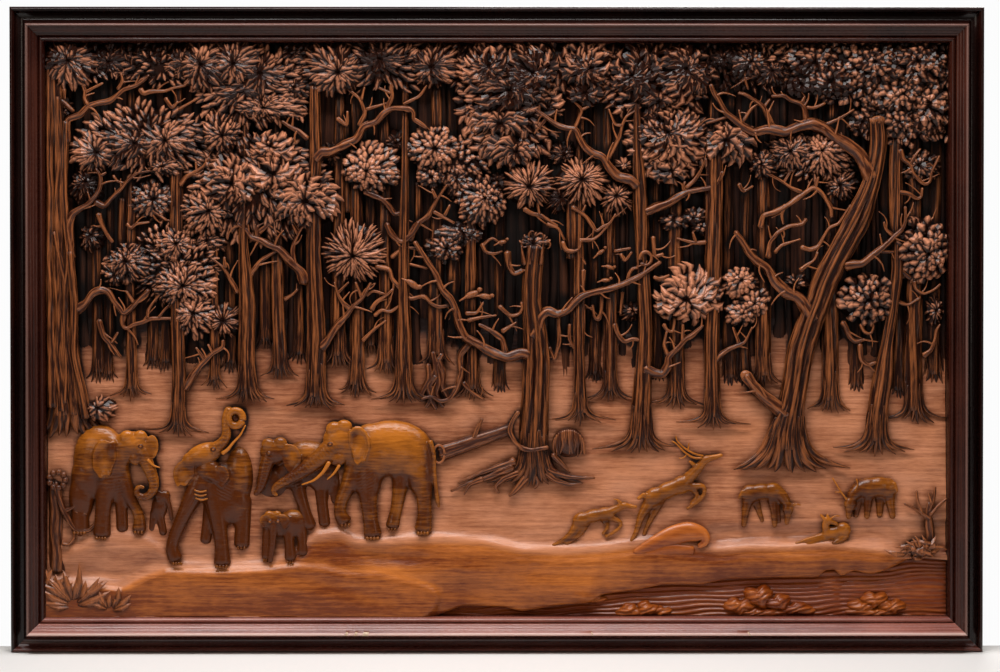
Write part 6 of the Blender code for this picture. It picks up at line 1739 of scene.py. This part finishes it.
halves = (("foliage_left", lambda gx: gx < 420), ("foliage_right", lambda gx: gx >= 420))
for name, belongs in halves:
    leafCarving = Carving()
    for number, (gx, gy, reachX, reachY, style, rim, crown) in enumerate(foliage):
        if belongs(gx):
            addTuft(leafCarving, gx, gy, reachX, reachY, style, rim, crown, 1000 + number)
    for number, (left, top, right, bottom, rise, style, spacing) in enumerate(mats):
        if belongs(left):
            addMat(leafCarving, left, top, right, bottom, rise, style, spacing, 5000 + number)
    for number, (gx, *mass) in enumerate(masses):
        if belongs(gx):
            addMass(leafCarving, gx, *mass, 6000 + number)
    trimToOpening(leafCarving)
    finishPiece(name, leafCarving, finishes["leaf"], smooth=False)

plantCarving = Carving()
addPlants(plantCarving)
trimToOpening(plantCarving)
finishPiece("ground_plants", plantCarving, finishes["branch"], smooth=False)

herdCarving = Carving()
addHerd(herdCarving)
trimToOpening(herdCarving)
finishPiece("elephants", herdCarving, finishes["hide"])

deerCarving = Carving()
addDeer(deerCarving)
trimToOpening(deerCarving)
finishPiece("deer", deerCarving, finishes["hide"])


# the slab behind the carving: flat joined boards, tucked under the frame's lip
def addSlab():
    low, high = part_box("carved_panel")
    carving = Carving()
    lowX, highX = (low.x - openLeft) / squareX + 46, (high.x - openLeft) / squareX + 46
    lowY, highY = (openTop - high.z) / squareZ + 42, (openTop - low.z) / squareZ + 42
    back = (boardFront - panelBack) / riseStep
    front = -0.6
    corners = [(gx, gy, rise) for rise in (back, front) for gx, gy in
               ((lowX, lowY), (highX, lowY), (highX, highY), (lowX, highY))]
    quads = np.array(((0, 1, 2, 3), (4, 7, 6, 5), (0, 4, 5, 1), (1, 5, 6, 2), (2, 6, 7, 3), (3, 7, 4, 0)))
    points = np.array(corners, dtype=float)
    if signedVolume(toWorld(points), quads, np.zeros((0, 3), int)) < 0:
        quads = quads[:, ::-1]
    carving.add(points, quads, tone=0.4)
    return carving


# only the slab's back is bare boards; its front is painted dark like the stained and shaded wood between the trees
slabPiece = finishPiece("slab_boards", addSlab(), finishes["shade"], smooth=False)
slabPiece.data.materials.append(finishes["boards"])
backFace = max(slabPiece.data.polygons, key=lambda face: face.center.y)
backFace.material_index = 1


# how deep each point lies among its neighbours, for the dark stain and painted shade in the hollows, and how far it
# stands out, for the wear and painted highlight on raised parts
def boxBlur(field, reach):
    for axis in (0, 1):
        padded = np.pad(field, [(reach + 1, reach) if side == axis else (0, 0) for side in (0, 1)], mode="edge")
        total = np.cumsum(padded, axis=axis)
        high = np.take(total, range(2 * reach + 1, total.shape[axis]), axis=axis)
        low = np.take(total, range(0, total.shape[axis] - 2 * reach - 1), axis=axis)
        field = (high - low) / (2 * reach + 1)
    return field


def markHollows():
    rows, columns = layout["rows"] + 1, layout["columns"] + 1
    height = np.zeros((rows, columns))
    every = [(piece, points) for piece, points in builtPieces if piece.name != "slab_boards"]
    for _, points in every:
        across = np.clip(np.round(points[:, 0] - layout["firstColumn"]).astype(int), 0, columns - 1)
        down = np.clip(np.round(points[:, 1] - layout["firstRow"]).astype(int), 0, rows - 1)
        np.maximum.at(height, (down, across), points[:, 2])
    filled = height.copy()
    for shiftX, shiftY in ((0, 1), (1, 0), (0, -1), (-1, 0)):
        filled = np.maximum(filled, np.roll(height, (shiftY, shiftX), axis=(0, 1)))
    wide = boxBlur(boxBlur(filled, 9), 6)
    close = boxBlur(boxBlur(filled, 3), 2)
    for piece, points in builtPieces:
        across = np.clip(np.round(points[:, 0] - layout["firstColumn"]).astype(int), 0, columns - 1)
        down = np.clip(np.round(points[:, 1] - layout["firstRow"]).astype(int), 0, rows - 1)
        deep = (wide[down, across] - points[:, 2] - 1.0) / 11
        tight = (close[down, across] - points[:, 2] - 0.8) / 7
        inWood = ease((372 - points[:, 1]) / 60)
        hollow = np.maximum(deep * (0.08 + 0.92 * inWood), (tight - 0.22 * (1 - inWood)) * (0.34 + 0.66 * inWood))
        # stain and painted shade deep in the wood behind the trees, darker the further back
        hollow = np.clip(np.maximum(hollow, inWood * (15 - points[:, 2]) / 15), 0, 1)
        # raised parts: worn pale and painted as highlight
        above = np.clip((points[:, 2] - close[down, across]) / 7, 0, 1)
        rubbedAndHighlit = np.clip(above * 0.8 + np.clip((points[:, 2] - wide[down, across]) / 26, 0, 0.4), 0, 1)
        if piece.name in ("elephants", "deer"):
            hollow *= 0.30
        if piece.name == "slab_boards":
            hollow[:], rubbedAndHighlit[:] = 0.2, 0
        if piece.name == "forest_floor":
            past = points[:, 1] - softLineAt(floorShape["crest"], points[:, 0])
            ground = 0.22 + 0.10 * waves(points[:, 0], points[:, 1] * 2, 70, 31)
            warm = np.clip(np.maximum(ground, ease((past + 2) / 9)), 0, 1)
            piece.data.attributes.new("warm", "FLOAT", "POINT").data.foreach_set("value", warm.astype(np.float32))
        for kind, values in (("hollow", hollow), ("rubbedAndHighlit", rubbedAndHighlit)):
            data = piece.data.attributes.new(kind, "FLOAT", "POINT")
            data.data.foreach_set("value", values.astype(np.float32))


markHollows()
report("hollows marked")

# the frame: four mitred rails of one moulding, in the same sizes as their solids
railLook = {"outerSide": 0.060, "beadWidth": 0.010, "beadHeight": 0.006, "coveWidth": 0.027, "coveFloor": 0.050,
            "ridgeWidth": 0.007, "slopeDrop": 0.016, "slopeEnd": 0.059, "grooveWidth": 0.004,
            "grooveDepth": 0.006, "innerBead": 0.004, "lipCover": 0.010, "fit": 0.0003, "steps": 14}


def hump(start, end, bulge, steps):
    share = np.linspace(0, 1, steps + 1)[1:-1]
    return [(start[0] + (end[0] - start[0]) * part, start[1] + (end[1] - start[1]) * part
             + bulge * math.sin(math.pi * part)) for part in share]


def cove(start, end, steps):
    turn = np.linspace(0, math.pi / 2, steps + 1)[1:-1]
    return [(start[0] + (end[0] - start[0]) * (1 - math.cos(part)), start[1] + (end[1] - start[1]) * math.sin(part))
            for part in turn]


def railProfile():
    look = railLook
    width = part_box("frame_top")[1].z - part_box("frame_top")[0].z
    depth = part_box("frame_top")[1].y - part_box("frame_top")[0].y
    steps = look["steps"]
    sideTop, beadEnd = (0, look["outerSide"]), (look["beadWidth"], look["outerSide"])
    coveLow = (look["beadWidth"] + look["coveWidth"] * 0.45, look["coveFloor"])
    coveEnd = (look["beadWidth"] + look["coveWidth"], depth - look["ridgeWidth"] * 0.5)
    ridgeEnd = (coveEnd[0] + look["ridgeWidth"], coveEnd[1])
    slopeEnd = (look["slopeEnd"], depth - look["slopeDrop"])
    grooveLow = (slopeEnd[0] + look["grooveWidth"] / 2, slopeEnd[1] - look["grooveDepth"])
    grooveEnd = (slopeEnd[0] + look["grooveWidth"], slopeEnd[1] - look["grooveDepth"] * 0.4)
    sight = (width, grooveEnd[1] - look["innerBead"])
    lipBack = -boardFront + look["fit"]
    wall = width - look["lipCover"] - look["fit"]
    points = [(0, 0), (0, 0.03), (0, look["outerSide"] - 0.001)]
    points += hump((0, look["outerSide"]), beadEnd, look["beadHeight"], steps) + [beadEnd]
    points += cove(beadEnd, coveLow, steps) + [coveLow] + cove(coveEnd, coveLow, steps)[::-1] + [coveEnd]
    points += hump(coveEnd, ridgeEnd, look["ridgeWidth"] * 0.5, steps) + [ridgeEnd]
    # fine reeds down the inner slope
    slope = np.linspace(0, 1, 26)[1:-1]
    for share in slope:
        reed = -0.0007 * (0.5 - 0.5 * math.cos(2 * math.pi * share * 3)) ** 3
        points.append((ridgeEnd[0] + (slopeEnd[0] - ridgeEnd[0]) * share,
                       ridgeEnd[1] + (slopeEnd[1] - ridgeEnd[1]) * share + reed))
    points += [slopeEnd, grooveLow, grooveEnd] + hump(grooveEnd, sight, look["innerBead"], steps)
    points += [sight, (width, lipBack), (wall, lipBack), (wall, 0)]
    return np.array(points)


# painted light: all four rails are the same teak, with the top rail and stiles painted darker as in shade and the
# bottom rail painted lighter as lit from above; wear on the front ridges is partly painted highlight
railFinish = {
    "rail": {"pale": (0.060, 0.014, 0.007), "body": (0.012, 0.0018, 0.0010), "dark": (0.003, 0.0006, 0.0004),
             "gloss": 0.14, "wearAndHighlight": 0.12},
    "sillLitFromAbove": {"pale": (0.380, 0.130, 0.090), "body": (0.110, 0.026, 0.018), "dark": (0.010, 0.0020, 0.0014),
             "gloss": 0.55, "wearAndHighlight": 0.8},
    "chip": (0.52, 0.38, 0.26), "wornAndHighlit": (0.58, 0.40, 0.35),
}


def railTeak(name, alongX, look):
    finish = Finish("teak " + name)
    place = finish.objectPlace()
    stretch = (3, 260, 260) if alongX else (260, 260, 3)
    grain = finish.noise(finish.stretched(place, stretch), 1, 5, 0.62)
    clouds = finish.noise(place, 6, 3)
    dust = finish.noise(place, 160, 3, 0.6)
    hollow = finish.attribute("hollow")
    edge = finish.attribute("edge")
    chip = finish.attribute("chip")
    # painted highlight on the front ridges and painted shade in the cove
    light = ((grain - 0.5) * 1.7 + (clouds - 0.5) * 1.2 + 0.30 - hollow * 0.3 + edge * 0.6).clamp()
    colour = finish.mix(light, look["body"], look["pale"])
    colour = finish.mix((hollow * 0.85).clamp(), colour, look["dark"])
    colour = finish.mix((edge * look["wearAndHighlight"] * (0.6 + grain)).clamp(), colour, railFinish["wornAndHighlit"])
    colour = finish.mix((chip * 1.2 + (dust - 0.5) * chip).clamp(), colour, railFinish["chip"])
    rough = (0.27 + (grain - 0.5) * 0.25 + (dust - 0.5) * 0.12 + chip * 0.3).clamp()
    normal = finish.bump(grain, 0.7, 0.0006)
    finish.set(Base_Color=colour, Roughness=rough, Normal=normal, Coat_Weight=look["gloss"], Coat_Roughness=0.16,
               IOR=1.5, Specular_IOR_Level=0.22)
    return finish.material


railMaterials = {"frame_top": railTeak("frame top rail", True, railFinish["rail"]),
                 "frame_bottom": railTeak("frame bottom rail", True, railFinish["sillLitFromAbove"])}
railMaterials["frame_left"] = railMaterials["frame_right"] = railTeak("frame stiles", False, railFinish["rail"])
# small chips in the ridge of the bottom rail: along the rail from its middle, half length, depth, in metres
railChips = ((-0.3120, 0.0020, 0.0030), (-0.2925, 0.0022, 0.0032), (-0.2720, 0.0050, 0.0024),
             (0.1960, 0.0014, 0.0016), (0.5210, 0.0018, 0.0020))


def addRail(node, alongX, sign):
    low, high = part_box(node)
    profile = railProfile()
    count = len(profile)
    length = (high.x - low.x) if alongX else (high.z - low.z)
    middle = (low + high) / 2
    outer = (high.z if sign > 0 else low.z) if alongX else (high.x if sign > 0 else low.x)
    half = length / 2
    chips = railChips if node == "frame_bottom" else ()
    cuts = np.linspace(-1, 1, 49)
    for place, reach, _ in chips:
        cuts = np.append(cuts, [(place + reach * part) / half for part in (-1.3, -1, -0.4, 0.3, 1, 1.2)])
    cuts = np.sort(cuts)
    points = np.empty((len(cuts), count, 3))
    chipped = np.zeros((len(cuts), count))
    for index, cut in enumerate(cuts):
        along = cut * (half - profile[:, 0])
        across = outer - sign * profile[:, 0]
        points[index, :, 0] = middle.x + along if alongX else across
        front = profile[:, 1].copy()
        for place, reach, deep in chips:
            bite = deep * np.clip(1.25 - abs(cut * half - place) / reach, 0, 1)
            front = np.where(front > 0.0935, np.maximum(front - bite, 0.0935), front)
            chipped[index] = np.maximum(chipped[index], (bite > 0.0005) * (profile[:, 1] > 0.0955))
        points[index, :, 1] = -front
        points[index, :, 2] = across if alongX else middle.z + along
    mesh = bpy.data.meshes.new(node + "_moulding")
    faces = []
    for index in range(len(cuts) - 1):
        for side in range(count):
            after = (side + 1) % count
            faces.append((index * count + side, index * count + after, (index + 1) * count + after,
                          (index + 1) * count + side))
    faces.append(tuple(range(count - 1, -1, -1)))
    faces.append(tuple(range((len(cuts) - 1) * count, len(cuts) * count)))
    flat = points.reshape(-1, 3)
    quads = np.array(faces[:-2])
    if signedVolume(flat, quads, np.zeros((0, 3), int)) < 0:
        faces = [face[::-1] for face in faces]
    mesh.from_pydata(flat.tolist(), [], faces)
    depth = np.tile(profile[:, 1], len(cuts))
    # painted shade in the cove and behind the lip, darker the deeper; the front-most ridges take wear and painted
    # highlight
    hollow = np.clip((0.083 - depth) / 0.035, 0, 1)
    edge = np.clip((depth - 0.0965) / 0.003, 0, 1)
    for kind, values in (("hollow", hollow), ("edge", edge), ("chip", chipped.ravel())):
        mesh.attributes.new(kind, "FLOAT", "POINT").data.foreach_set("value", values.astype(np.float32))
    for face in mesh.polygons:
        face.use_smooth = len(face.vertices) == 4
    rail = bpy.data.objects.new(node + "_moulding", mesh)
    bpy.context.scene.collection.objects.link(rail)
    bpy.context.view_layer.objects.active = rail
    rail.data.set_sharp_from_angle(angle=math.radians(38))
    mesh.materials.append(railMaterials[node])
    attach(rail, "root")
    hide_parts(node)
    return rail


for node, alongX, sign in (("frame_top", True, 1), ("frame_bottom", True, -1), ("frame_left", False, -1),
                           ("frame_right", False, 1)):
    addRail(node, alongX, sign)
report("frame")


# stage, lights and camera
def plainFinish(name, colour, roughness):
    finish = Finish(name)
    finish.set(Base_Color=colour, Roughness=roughness)
    return finish.material


def addStage():
    mesh = bpy.data.meshes.new("floor")
    reach, behind = 12, 0.03
    level = cadBox[0].z - 0.0005
    mesh.from_pydata([(-reach, -reach, level), (reach, -reach, level), (reach, behind, level), (-reach, behind, level)],
                     [], [(0, 1, 2, 3)])
    floor = bpy.data.objects.new("floor", mesh)
    bpy.context.scene.collection.objects.link(floor)
    mesh.materials.append(plainFinish("pale floor", (0.80, 0.79, 0.77), 0.6))
    floor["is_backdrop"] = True


lightLook = (
    # name, place, aimed at, width, height, power, colour
    ("soft light above", (-0.2, -1.5, 1.75), (0, 0, -0.62), 2.6, 0.8, 112, (1.0, 0.97, 0.95)),
    ("ceiling light", (0.0, -0.42, 1.9), (0, -0.1, -0.62), 2.6, 0.5, 34, (0.97, 0.96, 1.0)),
    ("warm room light", (-2.6, -3.6, 0.4), (0, 0, -0.62), 1.6, 1.2, 20, (1.0, 0.88, 0.74)),
    ("light on the back", (0.9, 3.2, 1.2), (0, 0, -0.62), 2.0, 1.0, 60, (1.0, 0.96, 0.92)),
    ("low front light", (2.8, -3.4, -0.3), (0, 0, -0.62), 1.0, 1.0, 9, (1.0, 0.90, 0.78)),
)


def addLights():
    for name, place, aim, width, height, power, colour in lightLook:
        data = bpy.data.lights.new(name, "AREA")
        data.shape = "RECTANGLE"
        data.size, data.size_y = width, height
        data.energy, data.color = power, colour
        lamp = bpy.data.objects.new(name, data)
        lamp.location = place
        lamp.rotation_euler = (Vector(aim) - Vector(place)).to_track_quat("-Z", "Y").to_euler()
        bpy.context.scene.collection.objects.link(lamp)
    world = bpy.data.worlds.new("studio")
    world.use_nodes = True
    nodes, links = world.node_tree.nodes, world.node_tree.links
    back = nodes["Background"]
    back.inputs["Color"].default_value = (1.0, 0.93, 0.88, 1)
    back.inputs["Strength"].default_value = 0.06
    seen = nodes.new("ShaderNodeBackground")
    seen.inputs["Color"].default_value = (0.93, 0.93, 0.93, 1)
    seen.inputs["Strength"].default_value = 1.05
    path = nodes.new("ShaderNodeLightPath")
    choose = nodes.new("ShaderNodeMixShader")
    links.new(path.outputs["Is Camera Ray"], choose.inputs[0])
    links.new(back.outputs[0], choose.inputs[1])
    links.new(seen.outputs[0], choose.inputs[2])
    links.new(choose.outputs[0], nodes["World Output"].inputs["Surface"])
    bpy.context.scene.world = world


# the photo's frame: where the outer frame's edges lie in it, in pixels
cameraLook = {"lens": 85, "sensor": 36, "distance": 4.75, "frameLeft": 10.5, "frameRight": 984, "frameTop": 8,
              "frameBottom": 652, "width": 1000, "height": 672, "rise": 0.06, "shiftRight": -0.02, "plane": -0.06}


def addCamera():
    look = cameraLook
    data = bpy.data.cameras.new("camera")
    data.lens, data.sensor_width = look["lens"], look["sensor"]
    middle = (cadBox[0] + cadBox[1]) / 2
    pixelsAcross = look["frameRight"] - look["frameLeft"]
    metresPerPixel = (cadBox[1].x - cadBox[0].x) / pixelsAcross
    pixelAngle = look["sensor"] / look["width"] / look["lens"]
    distance = metresPerPixel / pixelAngle
    centreX = (look["frameLeft"] + look["frameRight"]) / 2 - look["width"] / 2
    centreY = (look["frameTop"] + look["frameBottom"]) / 2 - look["height"] / 2
    aim = Vector((middle.x - centreX * metresPerPixel, look["plane"], middle.z + centreY * metresPerPixel))
    camera = bpy.data.objects.new("camera", data)
    camera.location = (aim.x + look["shiftRight"], aim.y - distance, aim.z + look["rise"])
    camera.rotation_euler = (aim - camera.location).to_track_quat("-Z", "Y").to_euler()
    data.clip_start, data.clip_end = 0.1, 50
    bpy.context.scene.collection.objects.link(camera)
    bpy.context.scene.camera = camera


addStage()
addLights()
addCamera()
bpy.context.scene.view_settings.view_transform = "Standard"
bpy.context.scene.view_settings.look = "None"
bpy.context.scene.view_settings.exposure = 0.0
report("stage, lights and camera")

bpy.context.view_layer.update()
total = sum(len(piece.data.polygons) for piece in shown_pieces() if piece.type == "MESH")
report(f"faces in all: {total}")
